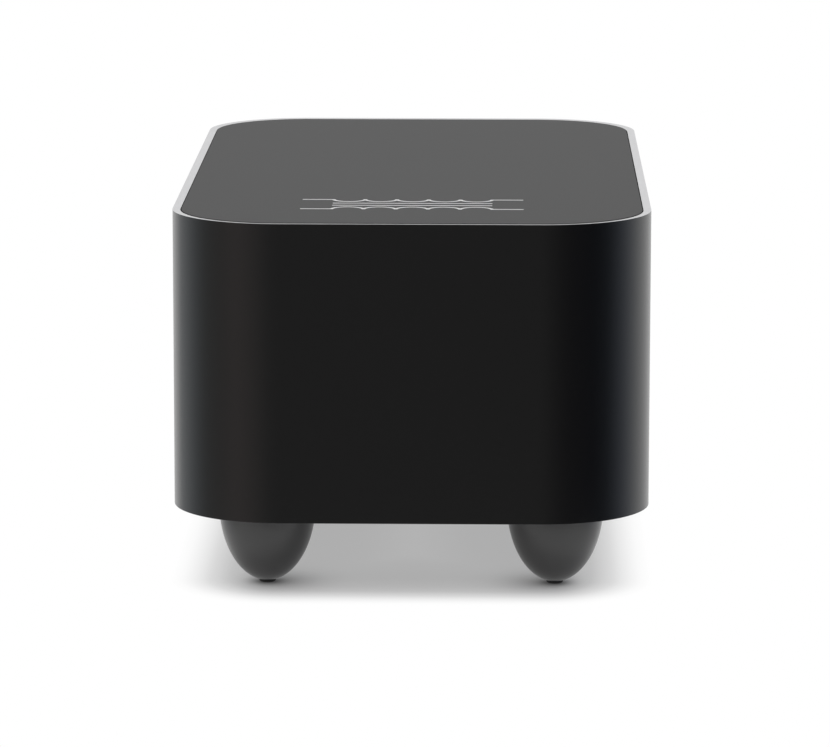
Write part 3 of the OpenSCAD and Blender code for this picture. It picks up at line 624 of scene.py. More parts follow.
def threaded(radius, depth, pitch, low, high, lead):
    """A profile's threaded stretch, with a short taper at its low end."""
    return [(radius - depth, low), *thread(radius - depth, radius, pitch, low + lead, high)]


def arc(x, y, radius, start, end, steps):
    """Points of an arc, with its angles in degrees."""
    angles = [math.radians(start + (end - start) * k / steps) for k in range(steps + 1)]
    return [(x + radius * math.cos(a), y + radius * math.sin(a)) for a in angles]


def outline(half_x, half_y, radius):
    """A rounded rectangle, anticlockwise from its right side, with a point beside both ends of each arc."""
    points = []
    for x, y, start in ((1, 1, 0), (-1, 1, 90), (-1, -1, 180), (1, -1, 270)):
        bend = arc(x * (half_x - radius), y * (half_y - radius), radius, start, start + 90, CORNER_STEPS)
        way = Vector((-math.sin(math.radians(start)), math.cos(math.radians(start)))) * SUPPORT
        back = Vector((-way.y, way.x))
        first = Vector(bend[0]) - way
        last = Vector(bend[-1]) + back
        points += [tuple(first), *bend, tuple(last)]
    return points


def upright(half, radius, profile, centre):
    """Rings of a rounded rectangular plan at a profile's places, which are an inset and a height."""
    rings = []
    for inset, height in profile:
        plan = outline(half[0] - inset, half[1] - inset, radius - inset)
        rings.append([(centre.x + x, centre.y + y, height) for x, y in plan])
    return rings


def settle(piece):
    """Turns what a piece's modifiers make into its plain mesh."""
    graph = bpy.context.evaluated_depsgraph_get()
    piece.data = bpy.data.meshes.new_from_object(piece.evaluated_get(graph))
    piece.modifiers.clear()
    return piece


def carve(piece, tools, operation):
    """Cuts or adds each tool, which is then removed."""
    for tool in tools:
        step = piece.modifiers.new("carve", "BOOLEAN")
        step.operation = operation
        step.solver = "EXACT"
        step.object = tool
    settle(piece)
    for tool in tools:
        bpy.data.objects.remove(tool)


def rod(low, high, radius):
    """A plain round tool from one point to another."""
    axis = Vector(high) - Vector(low)
    turn = axis.to_track_quat("Z", "Y").to_matrix().to_4x4()
    rings = [[polar(radius, math.tau * k / SMALL_STEPS, height) for k in range(SMALL_STEPS)]
             for height in (0, axis.length)]
    return skin("rod", *moved(loft(rings, capped=True), Matrix.Translation(low) @ turn))


def shade(piece, crease=CREASE):
    """Smooth shading that breaks at edges sharper than the crease, with flat faces kept flat."""
    for face in piece.data.polygons:
        face.use_smooth = True
    piece.data.set_sharp_from_angle(angle=math.radians(crease))
    step = piece.modifiers.new("normals", "WEIGHTED_NORMAL")
    step.keep_sharp = True
    return settle(piece)


def paint(piece, *finishes):
    piece.data.materials.clear()
    for finish in finishes:
        piece.data.materials.append(finish)


def stand_for(piece, nodes, body="root"):
    """The piece rides on a body, in place of these nodes if there are any."""
    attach(piece, body)
    if nodes:
        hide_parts(*nodes)


def finished(piece, finish, nodes, body="root", crease=CREASE):
    """Shades and paints a piece that stands for these nodes."""
    shade(piece, crease)
    paint(piece, finish)
    stand_for(piece, nodes, body)


def welded(mesh):
    """A mesh open for work, with its doubles merged."""
    work = bmesh.new()
    work.from_mesh(mesh)
    bmesh.ops.remove_doubles(work, verts=work.verts, dist=1e-6)
    return work


def dress(slot, edge, *nodes, body="root"):
    """Nodes that keep their shape get eased edges of a width and their slot's finish."""
    for node in nodes:
        source = NODES[node].data
        mesh = bpy.data.meshes.new(node + "_eased")
        mesh.from_pydata([v.co for v in source.vertices], [], [tuple(f.vertices) for f in source.polygons])
        work = welded(mesh)
        bmesh.ops.dissolve_limit(work, angle_limit=math.radians(FLAT), verts=work.verts, edges=work.edges)
        work.to_mesh(mesh)
        work.free()
        piece = link(node + "_eased", mesh)
        step = piece.modifiers.new("edge", "BEVEL")
        step.width = edge
        step.segments = 2
        step.limit_method = "ANGLE"
        step.angle_limit = math.radians(CREASE)
        settle(piece)
        finished(piece, finish_of(slot), [node], body, EASED_CREASE)


def redress(node, finish):
    """A node that keeps its shape and its edges takes a new finish."""
    for place in NODES[node].material_slots:
        place.material = finish


def solids(node):
    """The boxes of a node's separate solids, each as a lowest and a highest corner."""
    work = welded(NODES[node].data)
    left = set(work.verts)
    boxes = []
    while left:
        group = [left.pop()]
        for vert in group:
            near = [edge.other_vert(vert) for edge in vert.link_edges]
            group += [other for other in near if other in left]
            left.difference_update(near)
        low = Vector([min(v.co[i] for v in group) for i in range(3)])
        high = Vector([max(v.co[i] for v in group) for i in range(3)])
        boxes.append((low, high))
    work.free()
    # The set gives up its corners in any order, so the boxes are put in order of their place
    return sorted(boxes, key=lambda box: [round(value, 3) for value in box[0] + box[1]])


class Recipe(Tree):
    """A Geometry Nodes tree with named inputs, each given with its kind."""

    def __init__(self, name, **inputs):
        super().__init__(bpy.data.node_groups.new(name, "GeometryNodeTree"))
        face = self.tree.interface
        face.new_socket("Geometry", in_out="OUTPUT", socket_type="NodeSocketGeometry")
        self.sockets = {}
        for text, kind in {"Geometry": "Geometry", **inputs}.items():
            socket = face.new_socket(text, in_out="INPUT", socket_type="NodeSocket" + kind)
            self.sockets[text] = socket.identifier
        self.entry = self.tree.nodes.new("NodeGroupInput")

    def given(self, text):
        return Signal(self, self.entry.outputs[text])

    def wire(self, capped):
        """A round wire along the recipe's own line of points."""
        line = self.node("GeometryNodeMeshToCurve", {"Mesh": self.given("Geometry")})
        ring = self.node("GeometryNodeCurvePrimitiveCircle",
                         {"Resolution": self.given("Sides"), "Radius": self.given("Radius")})
        wire = self.node("GeometryNodeCurveToMesh",
                         {"Curve": line, "Profile Curve": ring, "Fill Caps": capped})
        return self.node("GeometryNodeSetShadeSmooth", {0: wire})

    def end(self, geometry):
        """Ends the tree in plain geometry with its finish."""
        plain = self.node("GeometryNodeRealizeInstances", {"Geometry": geometry})
        dressed = self.node("GeometryNodeSetMaterial",
                            {"Geometry": plain, "Material": self.given("Finish")})
        self.node("NodeGroupOutput", {"Geometry": dressed})
        return self

    def make(self, piece, **values):
        """Runs the tree on a piece, and leaves its plain mesh without empty material slots."""
        step = piece.modifiers.new(self.tree.name, "NODES")
        step.node_group = self.tree
        for text, value in values.items():
            step[self.sockets[text]] = value
        settle(piece)
        slots = piece.data.materials
        for k in reversed(range(len(slots))):
            if slots[k] is None:
                slots.pop(index=k)
        return piece


def wire_recipe():
    """A round wire along a line of points"""
    recipe = Recipe("wire along a path", Radius="Float", Sides="Int", Finish="Material")
    return recipe.end(recipe.wire(True))


def ring_recipe():
    """Closed turns of wire, set side by side round a ring"""
    recipe = Recipe("turns round a ring", Turns="Int", Radius="Float", Sides="Int", Centre="Vector",
                    Finish="Material")
    turn = recipe.wire(False)
    total = recipe.given("Turns")
    spots = recipe.node("GeometryNodePoints", {"Count": total})
    angle = recipe.node("GeometryNodeInputIndex") * math.tau / total
    heading = recipe.node("ShaderNodeCombineXYZ", {2: angle})
    turns = recipe.node("GeometryNodeInstanceOnPoints",
                        {"Points": spots, "Instance": turn, "Rotation": heading})
    return recipe.end(recipe.node("GeometryNodeTransform",
                                  {"Geometry": turns, "Translation": recipe.given("Centre")}))


def screw_recipe():
    """The same screw at each point, each stopped at its own angle"""
    recipe = Recipe("screws at points", Screw="Object", Flip="Float", Seed="Int", Finish="Material")
    shape = recipe.node("GeometryNodeObjectInfo", {"Object": recipe.given("Screw")}, "Geometry")
    chance = recipe.node("FunctionNodeRandomValue", {2: 0.0, 3: math.tau, "Seed": recipe.given("Seed")}, 1,
                         data_type="FLOAT")
    turn = recipe.node("ShaderNodeCombineXYZ", {0: recipe.given("Flip"), 2: chance})
    spots = recipe.given("Geometry")
    return recipe.end(recipe.node("GeometryNodeInstanceOnPoints",
                                  {"Points": spots, "Instance": shape, "Rotation": turn}))


def path_piece(name, paths, closed=False):
    """Lines of points as a mesh of edges. Closed joins the end of each to its start."""
    points = []
    edges = []
    for path in paths:
        start = len(points)
        points += path
        edges += [(k, k + 1) for k in range(start, len(points) - 1)]
        if closed:
            edges.append((len(points) - 1, start))
    mesh = bpy.data.meshes.new(name)
    mesh.from_pydata(points, edges, [])
    return link(name, mesh)


def lay_wire(name, paths, radius, node, slot):
    """A round wire along each path, as one piece that stands for a node."""
    wire = wire_recipe().make(path_piece(name, paths), Radius=radius, Sides=WIRE_SIDES,
                              Finish=finish_of(slot))
    stand_for(wire, [node])


def build_stage(settings):
    """Camera, white surroundings, dim wall behind the camera, and a floor whose shadow is partly real shade
    and partly painted
    """
    scene = bpy.context.scene
    scene.view_settings.view_transform = "Standard"
    camera = link("camera", bpy.data.cameras.new("camera"))
    scene.camera = camera
    camera.data.lens = settings.lens
    camera.data.sensor_width = 36.0
    camera.data.sensor_fit = "HORIZONTAL"
    camera.matrix_world = (
        Matrix.Translation(settings.eye)
        @ Matrix.Rotation(settings.heading, 4, "Z")
        @ Matrix.Rotation(math.pi / 2 - settings.pitch, 4, "X")
        @ Matrix.Rotation(settings.roll, 4, "Z")
    )
    world = bpy.data.worlds.new("white surroundings")
    scene.world = world
    world.use_nodes = True
    sky = Tree(world.node_tree)
    light = sky.node("ShaderNodeBackground", {"Color": (1.0, 1.0, 1.0, 1.0), "Strength": 1.0})
    sky.node("ShaderNodeOutputWorld", {"Surface": light})
    build_wall(settings)
    build_floor(settings)


def build_wall(settings):
    """A curved wall behind the camera that only dims what the black finish mirrors"""
    first, last = WALL_TONES[0][0], WALL_TONES[-1][0]
    points = []
    for k in range(WALL_STEPS + 1):
        angle = math.radians(first + (last - first) * k / WALL_STEPS)
        x = settings.wall_radius * math.sin(angle)
        y = -settings.wall_radius * math.cos(angle)
        points += [(x, y, -settings.wall_below), (x, y, settings.wall_above)]
    mesh = bpy.data.meshes.new("dim_wall")
    mesh.from_pydata(points, [], [(2 * k, 2 * k + 2, 2 * k + 3, 2 * k + 1) for k in range(WALL_STEPS)])
    wall = link("dim_wall", mesh)
    finish = Finish("dim_wall")
    x, y, _ = finish.axes()
    angle = finish.maths("ARCTAN2", x, 0.0 - y) * (180 / math.pi)
    glow = finish.node("ShaderNodeEmission", {"Color": finish.ramp(angle, WALL_TONES), "Strength": 1.0})
    paint(wall, finish.end(glow))
    wall.visible_camera = False


def build_floor(settings):
    """A pale floor under and round the object, with a painted shadow that fades into the white surroundings
    outside its outline
    """
    finish = Finish("floor")
    x, y, _ = finish.axes()
    radius = bpy.context.scene.stepup_case.corner_radius
    across, along = abs(x), abs(y - CASE_MID.y)
    # The painted shadow's outline, drawn in at the sides and out at the ends
    past_x = across - (CASE_HALF[0] - radius - settings.painted_shadow_inset)
    past_y = along - (CASE_HALF[1] - radius + settings.painted_shadow_inset)
    outside = finish.length(finish.maths("MAXIMUM", past_x, 0.0), finish.maths("MAXIMUM", past_y, 0.0))
    inside = finish.maths("MINIMUM", finish.maths("MAXIMUM", past_x, past_y), 0.0)
    # Painted shadow: the share of plain white falls with distance into the case's outline, so the floor's
    # real shade shows only near and under the case
    fade = finish.ramp(outside + inside - radius, SHADE_TONES)
    foot = middle("foot_rear_right") - CASE_MID
    off_x, off_y = across - foot.x, along - foot.y
    spread = finish.length(off_x + settings.outward * finish.maths("MAXIMUM", off_x, 0.0), off_y)
    # Painted contact shadows round the pads: for camera rays, dark takes away white so more real shade
    # shows, and core paints black
    dark = settings.contact * finish.bell(spread / settings.contact_reach)
    core = settings.core * finish.bell(finish.length(off_x, off_y) / settings.core_reach)
    camera, glossy, through = [finish.node("ShaderNodeLightPath", output=f"Is {kind} Ray")
                               for kind in ("Camera", "Glossy", "Transmission")]
    seen = finish.maths("MAXIMUM", camera + glossy, through)
    lightness = (settings.floor, settings.floor, settings.floor, 1.0)
    plain = finish.node("ShaderNodeBsdfDiffuse", {"Color": lightness})
    white = finish.node("ShaderNodeEmission", {"Color": (1.0, 1.0, 1.0, 1.0), "Strength": 1.0})
    # The painted black in the middle of each pad's contact shadow
    black = finish.node("ShaderNodeEmission", {"Color": (0.0, 0.0, 0.0, 1.0), "Strength": 0.0})
    mixed = finish.node("ShaderNodeMixShader", {0: fade * (1.0 - dark * camera) * seen, 1: plain, 2: white})
    finish.end(finish.node("ShaderNodeMixShader", {0: core * camera, 1: mixed, 2: black}))
    reach = settings.floor_reach
    near_x, near_y = [half + settings.floor_margin for half in CASE_HALF]
    corners = [(-1, -1), (1, -1), (1, 1), (-1, 1)]
    inner = [(i * near_x, CASE_MID.y + j * near_y, 0) for i, j in corners]
    outer = [(i * reach, j * reach, 0) for i, j in corners]
    under = skin("floor_under", inner, [(0, 1, 2, 3)])
    around = skin("floor_around", outer + inner,
                  [(k, (k + 1) % 4, (k + 1) % 4 + 4, k + 4) for k in range(4)])
    around.visible_glossy = False
    for part in (under, around):
        paint(part, finish.material)


def build_case(settings):
    """The sleeve, with its screw channels and the holes in its rear wall"""
    edge, wall, rim_edge = settings.edge, settings.wall, settings.rim_edge
    low, high = CASE_LOW.z, CASE_HIGH.z
    inner = high - settings.rim_fall
    profile = [
        (0, low + edge), (0, high - rim_edge), (rim_edge, high), (settings.rim_land, high),
        (wall - edge, inner), (wall, inner - edge), (wall, low + edge), (wall - edge, low), (edge, low),
    ]
    case = skin("sleeve", *loft(upright(CASE_HALF, settings.corner_radius, profile, CASE_MID), closed=True))
    floor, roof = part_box("base_plate")[1].z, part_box("top_carrier")[0].z
    screws = [(box[0] + box[1]) / 2 for box in solids("base_screws")]
    channels = [rod((p.x, p.y, floor), (p.x, p.y, roof), settings.channel_radius) for p in screws]
    carve(case, channels, "UNION")
    past, bore = 0.001, settings.screw_hole_radius
    tools = [rod((p.x, p.y, floor - past), (p.x, p.y, roof + past), bore) for p in screws]
    holes = {socket + "_shell": settings.hole_radius for socket in SOCKETS}
    holes["ground_stud"] = settings.stud_hole_radius
    for node, radius in holes.items():
        at = middle(node)
        tools.append(rod((at.x, REAR - 2 * wall, at.z), (at.x, REAR + wall, at.z), radius))
    carve(case, tools, "DIFFERENCE")
    shade(case)
    paint(case, satin_black(settings), machined_rim(settings))
    for face in case.data.polygons:
        face.material_index = 1 if face.center.z > inner else 0
    stand_for(case, ["outer_case"])


def build_top(settings):
    """The top plate in the rim, and the sign printed on it"""
    low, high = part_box("top_plate")
    half = (high.x, (high.y - low.y) / 2)
    radius = bpy.context.scene.stepup_case.corner_radius - (CASE_HIGH.x - high.x)
    edge = settings.edge
    bend = edge * 0.3
    profile = [(edge, low.z), (0, low.z + edge), (0, high.z - edge), (bend, high.z - bend), (edge, high.z)]
    rings = upright(half, radius, profile, (low + high) / 2)
    plate = skin("top_plate_finished", *loft(rings, capped=True))
    finished(plate, matt_top(settings), ["top_plate"])
    build_mark(settings, low.y + settings.mark_distance, high.z)


def strip(pairs, low, high):
    """A flat strip of ink between the pairs of points along its two edges."""
    rings = [[(*left, low), (*right, low), (*right, high), (*left, high)] for left, right in pairs]
    return loft(rings, capped=True)


def bar(start, end, width, low, high):
    """A straight strip of ink."""
    way = (Vector(end) - Vector(start)).normalized() * (width / 2)
    return strip([((x - way.y, y + way.x), (x + way.y, y - way.x)) for x, y in (start, end)], low, high)


def coil_edges(reach, pitch, humps, width):
    """Both edges of a coil's sign: half circles side by side, with a straight end on each side.

    Where two half circles meet, their outer edges join in one point."""
    outer, inner = (pitch + width) / 2, (pitch - width) / 2
    join, corner = math.acos(pitch / 2 / outer), math.asin(width / outer)
    steps = 16
    pairs = [((-reach, width), (-reach, 0))]
    for k in range(humps):
        centre = pitch * (k + 0.5 - humps / 2)
        first = join if k else corner
        last = join if k < humps - 1 else corner
        for n in range(steps + 1):
            a = first + (math.pi - first - last) * n / steps
            b = math.pi * n / steps
            pairs.append(((centre - outer * math.cos(a), outer * math.sin(a)),
                          (centre - inner * math.cos(b), inner * math.sin(b))))
    return [*pairs, ((reach, width), (reach, 0))]


def build_mark(settings, y, z):
    """A transformer's plain circuit sign: two rows of half circles with two straight lines between them"""
    pitch = settings.mark_width * settings.coil_share / settings.humps
    half = pitch * settings.humps / 2
    edges = coil_edges(settings.mark_width / 2, pitch, settings.humps, settings.line)
    low, high = z - settings.ink, z + settings.ink
    lines = []
    for side in (-1, 1):
        base = y + side * (settings.mark_gap + pitch / 2)
        row = [tuple((px, base - side * py) for px, py in pair) for pair in edges]
        lines.append(strip(row, low, high))
        beside = y + side * settings.mark_gap * settings.core_share
        lines.append(bar((-half, beside), (half, beside), settings.line, low, high))
    mark = skin("transformer_sign", *together(lines))
    paint(mark, finish_of("white_ink"))
    stand_for(mark, [])


def build_foot(settings, node, coat):
    """Half an egg with a threaded bore and a pocket for its pad"""
    low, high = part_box(node)
    radius = (high.x - low.x) / 2
    drop = (high.z - low.z) / math.sqrt(1 - (settings.tip_radius / radius) ** 2)
    last = math.asin((high.z - low.z) / drop)
    steps = 56
    bends = [last * k / steps for k in range(1, steps + 1)]
    bore, pocket = settings.bore_radius, settings.pocket_radius
    ceiling, floor = low.z + settings.pocket_depth, high.z - settings.bore_depth
    profile = [
        (bore, high.z), (radius, high.z),
        *((radius * math.cos(a), high.z - drop * math.sin(a)) for a in bends),
        (pocket, low.z), (pocket, ceiling), (0, ceiling), (0, floor), (bore, floor),
    ]
    foot = skin(node + "_turned", *standing(turned(profile, WIDE_STEPS), (low + high) / 2))
    finished(foot, coat, [node])


def build_feet(settings):
    """Four feet with their rubber pads"""
    coat = foot_paint(settings)
    feet = ["foot_" + place for place in FOOT_PLACES]
    for node in feet:
        build_foot(settings, node, coat)
    low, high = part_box("foot_pads")
    edge, r = settings.pad_edge, settings.pad_radius
    profile = [(0, high.z), (r, high.z), *arc(r - edge, low.z + edge, edge, 0, -90, 6), (0, low.z)]
    pads = [standing(turned(profile, SMALL_STEPS), middle(node)) for node in feet]
    piece = skin("foot_pads_moulded", *together(pads))
    finished(piece, finish_of("pad_rubber"), ["foot_pads"])


# Screws by kind: radii of shank and head, height of the head, pitch and length of the threads, in metres
SCREWS = {
    "fixing": (0.0014, 0.0029, 0.0016, 0.0005, 0.0075),
    "foot": (0.0019, 0.004, 0.0024, 0.0007, 0.0105),
    "bolt": (0.0024, 0.0046, 0.0022, 0.0008, 0.012),
}
# Thread's depth as a part of its pitch, and hexagon's radius and depth as parts of the shank's and head's
THREAD_DEPTH = 0.55
HEXAGON_RADIUS = 0.65
HEXAGON_DEPTH = 0.7


def screw_shape(kind, length, cap):
    """A hexagon socket screw that points down from its head's flat face. A cap head stands on the shank."""
    shank, head, head_height, pitch, threads = SCREWS[kind]
    edge = 0.0003
    chamfer = edge if cap else edge * 0.3
    profile = [
        (0, -length), *threaded(shank, pitch * THREAD_DEPTH, pitch, -length, threads - length, edge),
        (shank, threads - length + edge), (shank, -head_height),
    ]
    if cap:
        profile.append((head, -head_height))
    flat = hexagon(2 * shank * HEXAGON_RADIUS * math.cos(math.pi / 6))
    bottom = -head_height * HEXAGON_DEPTH
    profile += [(head, -chamfer), (head - chamfer, 0), (flat, 0), (flat, bottom), (0, bottom)]
    return shade(skin("screw", *turned(profile, SCREW_STEPS)))


def set_screws(node, slot, kind, seed, upwards=False, cap=False):
    """One screw at the place of each of a node's solids."""
    boxes = solids(node)
    shape = screw_shape(kind, boxes[0][1].z - boxes[0][0].z, cap)
    tops = []
    for low, high in boxes:
        centre = (low + high) / 2
        tops.append([(centre.x, centre.y, low.z if upwards else high.z)])
    screws = screw_recipe().make(path_piece(node + "_set", tops), Screw=shape, Seed=seed,
                                 Flip=math.pi if upwards else 0.0, Finish=finish_of(slot))
    bpy.data.objects.remove(shape)
    stand_for(screws, [node])


def build_plates():
    """Base plate, carrier and film, with the screws that hold them and the feet"""
    dress("base_black", 0.00025, "base_plate")
    dress("zinc_steel", 0.00015, "top_carrier", "foot_washers")
    redress("top_adhesive", finish_of("adhesive"))
    set_screws("base_screws", "black_screw", "fixing", 3, upwards=True)
    set_screws("carrier_screws", "screw_steel", "fixing", 5)
    set_screws("foot_screws", "screw_steel", "foot", 8, cap=True)


# Radii of the holes in the foam under a can or a core, and in the foam over a core
FOAM_HOLE = 0.0028
UPPER_FOAM_HOLE = 0.0135


def foam_ring(inner, outer, low, high):
    """A die-cut foam ring, with soft edges and sides that bulge a little under load."""
    soft = min((high - low) * 0.35, 0.0006)
    bulge = soft * 0.35
    profile = [
        *arc(outer - soft - bulge, high - soft, soft, 90, 20, 5), (outer, (low + high) / 2),
        *arc(outer - soft - bulge, low + soft, soft, -20, -90, 5),
        *arc(inner + soft + bulge, low + soft, soft, 270, 200, 5), (inner, (low + high) / 2),
        *arc(inner + soft + bulge, high - soft, soft, 160, 90, 5),
    ]
    return turned(profile, WIDE_STEPS)


def build_cans():
    """Shield cans and what holds a coil in each: cushions, bolt, dished washer and nut"""
    for side in SIDES:
        dress("shield_alloy", 0.00015, side + "_shield_can", side + "_shield_lid")
    dress("zinc_steel", 0.0001, "dished_washers")
    dress("screw_steel", 0.00012, "centre_nuts")
    redress("lead_grommets", finish_of("pad_rubber"))
    set_screws("centre_bolts", "screw_steel", "bolt", 11, upwards=True)
    for node in ("can_cushions", "coil_cushions"):
        rings = []
        for low, high in solids(node):
            upper = node == "coil_cushions" and low.z > middle("left_core").z
            inner = UPPER_FOAM_HOLE if upper else FOAM_HOLE
            rings.append(standing(foam_ring(inner, (high.x - low.x) / 2, low.z, high.z), (low + high) / 2))
        foam = skin(node + "_foam", *together(rings))
        finished(foam, finish_of("pad_rubber"), [node], crease=SOFT_CREASE)


# Directions in degrees in which each can's leads leave it: primary, then secondary
EXITS = {"left": (60, 120), "right": (0, 180)}
# Half width, half height and corner radius of a coil's section by layer, in metres
WINDING_SECTION = (0.0082, 0.0117, 0.0026)
TAPE_SECTION = (0.0088, 0.0123, 0.0032)
WIRE_SECTION = (0.0096, 0.0131, 0.004)
# The tape's window for the secondary's leads, from its lowest to its highest corner, in metres
WINDOW = ((0.0227, -0.00295, -0.002), (0.0287, 0.00295, 0.002))


def section_loop(section, arc_steps, spans, inset=0.0):
    """Points round a section at an inset, down from its outer side's middle, as offsets from its middle."""
    half_x, half_z, radius = [part - inset for part in section]
    arcs = []
    for x, z, start in ((1, -1, 0), (-1, -1, -90), (-1, 1, -180), (1, 1, -270)):
        arcs.append(arc(x * (half_x - radius), z * (half_z - radius), radius, start, start - 90, arc_steps))
    rise = (half_z - radius) / 3
    points = [(half_x, -rise)]
    for k in range(3):
        points += arcs[k]
        a, b = Vector(arcs[k][-1]), Vector(arcs[k + 1][0])
        points += [tuple(a.lerp(b, n / spans)) for n in range(1, spans)]
    return [*points, *arcs[3], (half_x, rise)]


def curve_point(a, b, c, d, t):
    """The point at a part t of the way from b to c, on the smooth curve through four points."""
    bend = (2 * a - 5 * b + 4 * c - d) * t * t
    swing = (3 * b - a - 3 * c + d) * t ** 3
    return 0.5 * (2 * b + (c - a) * t + bend + swing)


def smooth(points, step):
    """A smooth curve through points, with a point about every step along it."""
    line = []
    for i in range(len(points) - 1):
        a, b, c = points[max(i - 1, 0)], points[i], points[i + 1]
        d = points[min(i + 2, len(points) - 1)]
        spans = max(1, round((c - b).length / step))
        line += [curve_point(a, b, c, d, k / spans) for k in range(spans)]
    return [*line, points[-1]]


def winding_path(settings):
    """The primary winding's path: turns round the section that go round the ring, with two straight ends."""
    loop = section_loop(WIRE_SECTION, 3, 3)
    rim = settings.mean_radius + WIRE_SECTION[0]
    seam = 2 * math.asin(settings.apart / 2 / rim)
    total = settings.turns * len(loop)
    turns = []
    for k in range(total):
        x, z = loop[k % len(loop)]
        turns.append(polar(settings.mean_radius + x, seam / 2 + (math.tau - seam) * (k + 0.5) / total, z))

    def end(angle, way):
        x, y, _ = polar(rim, angle)
        bend = settings.stub_bend
        tips = [Vector((x + settings.stub, y, 0))]
        for t in (0, math.pi / 6, math.pi / 3, math.pi / 2):
            tips.append(Vector((x + bend * (1 - math.sin(t)), y, way * bend * (1 - math.cos(t)))))
        return tips

    return [*end(seam / 2, -1), *turns, *reversed(end(-seam / 2, 1))]


def build_secondary(side, settings, centre):
    """Enamelled copper in many fine turns: full layers below, and single turns on top"""
    node = side + "_secondary_winding"
    copper = finish_of("winding_copper")
    fine = settings.fine_wire
    loop = section_loop(WINDING_SECTION, 4, 4, fine)
    turn = path_piece(node + "_turns", [[(settings.mean_radius + x, 0, z) for x, z in loop]], closed=True)
    ring_recipe().make(turn, Turns=settings.fine_turns, Radius=fine, Sides=FINE_SIDES, Centre=centre,
                       Finish=copper)
    stand_for(turn, [node])
    sunk = 1.6 * fine
    under = section_loop(WINDING_SECTION, 6, 4, sunk)
    layers = turned([(settings.mean_radius + x, z) for x, z in under], COIL_STEPS)
    core = skin(node + "_layers", *moved(layers, Matrix.Translation(centre)))
    finished(core, copper, [], crease=SOFT_CREASE)


def build_tape(side, settings, centre):
    """Tape in slanting wraps, each lapping the one before, with a window for the secondary's leads"""
    node = side + "_winding_tape"
    loop = section_loop(TAPE_SECTION, 6, 5)
    steps = settings.wraps * WRAP_RINGS
    rings = []
    for k in range(steps):
        ring = []
        for n, (x, z) in enumerate(loop):
            phase = (settings.wraps * k / steps + settings.slant * n / len(loop)) % 1
            shrink = 1 - settings.lap * min(phase * settings.slope, 1) / TAPE_SECTION[0]
            ring.append(polar(settings.mean_radius + x * shrink, math.tau * k / steps, z * shrink))
        rings.append(ring)
    place = Matrix.Translation(centre)
    tape = skin(node + "_wrapped", *moved(loft(rings, closed=True), place))
    inner = section_loop(TAPE_SECTION, 6, 5, settings.tape)
    hollow = turned([(settings.mean_radius + x, z) for x, z in inner], COIL_STEPS)
    (x0, y0, z0), (x1, y1, z1) = WINDOW
    window = loft([[(x, y0, z0), (x, y1, z0), (x, y1, z1), (x, y0, z1)] for x in (x0, x1)], capped=True)
    turn = place @ Matrix.Rotation(math.radians(EXITS[side][1]), 4, "Z")
    carve(tape, [skin("hollow", *moved(hollow, place)), skin("window", *moved(window, turn))], "DIFFERENCE")
    finished(tape, finish_of("amber_tape"), [node], crease=SOFT_CREASE)


def build_coils(settings):
    """Two ring coils: core, secondary winding, tape and primary winding"""
    for side in SIDES:
        centre = middle(side + "_core")
        redress(side + "_core", strip_core(side + "_core_strip", centre, settings.strip))
        build_secondary(side, settings, centre)
        build_tape(side, settings, centre)
        place = Matrix.Translation(centre) @ Matrix.Rotation(math.radians(EXITS[side][0]), 4, "Z")
        path = [place @ point for point in smooth(winding_path(settings), settings.smooth_step)]
        node = side + "_primary_winding"
        lay_wire(node + "_wire", [path], settings.wire, node, "silver_wire")


# How far below a socket's axis its lug is soldered, in metres
LUG_DROP = 0.0089


def joint_places(socket):
    """Where a socket's two leads are soldered: its contact's tail, and its lug's tab."""
    low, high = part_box(socket + "_contact")
    x, z = (low.x + high.x) / 2, (low.z + high.z) / 2
    return [Vector((x, low.y, z)), Vector((x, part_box("socket_lugs")[0].y, z - LUG_DROP))]


def straight_in(place):
    """The last points of a lead, which comes in from the front."""
    return [place - Vector((0, 0.006, 0)), place - Vector((0, 0.003, 0)), place]


def lead_start(centre, degrees, aside, reaches):
    """The first points of a lead, straight out of its coil and its can."""
    angle = math.radians(degrees)
    sideways = aside * Vector((-math.sin(angle), math.cos(angle), 0))
    return [centre + reach * polar(1, angle) + sideways for reach in reaches]


def lead_paths(coil, lead, side, kind, socket):
    """The two leads from a winding to its socket. Those of the front coil go round the rear one."""
    centre = middle(side + "_core")
    low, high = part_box(side + "_shield_can")
    can_radius = (high.x - low.x) / 2
    rim = coil.mean_radius + WIRE_SECTION[0]
    starts = (math.sqrt(rim ** 2 - (coil.apart / 2) ** 2) + coil.stub, coil.mean_radius + WINDING_SECTION[0])
    run_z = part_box("base_plate")[1].z + lead.radius + lead.gap
    rear = middle("left_core").y
    paths = []
    for k, end in enumerate(joint_places(socket)):
        way = math.copysign(1, end.x)
        out = (1 - 2 * k) * coil.apart / 2
        reaches = (starts[kind], can_radius + 0.0018, can_radius + 0.004)
        points = lead_start(centre, EXITS[side][kind], -way * out, reaches)
        if side == "right":
            x = (can_radius + CASE_HIGH.x - bpy.context.scene.stepup_case.wall) / 2 + out
            y = points[2].y
            across = rear + can_radius + 0.007 + out
            points += [Vector(place) for place in (
                (way * (x - 0.002), y + 0.004, centre.z - 0.004), (way * x, y + 0.014, run_z + 0.006),
                (way * x, y + 0.026, run_z + 0.0012), (way * x, rear, run_z),
                (way * x, across - 0.016, run_z), (way * (x - 0.008), across - 0.002, run_z + 0.001),
                (way * (abs(end.x) + 0.006), across + 0.002, (run_z + end.z) / 2),
            )]
        paths.append(smooth([*points, *straight_in(end)], lead.step))
    return paths


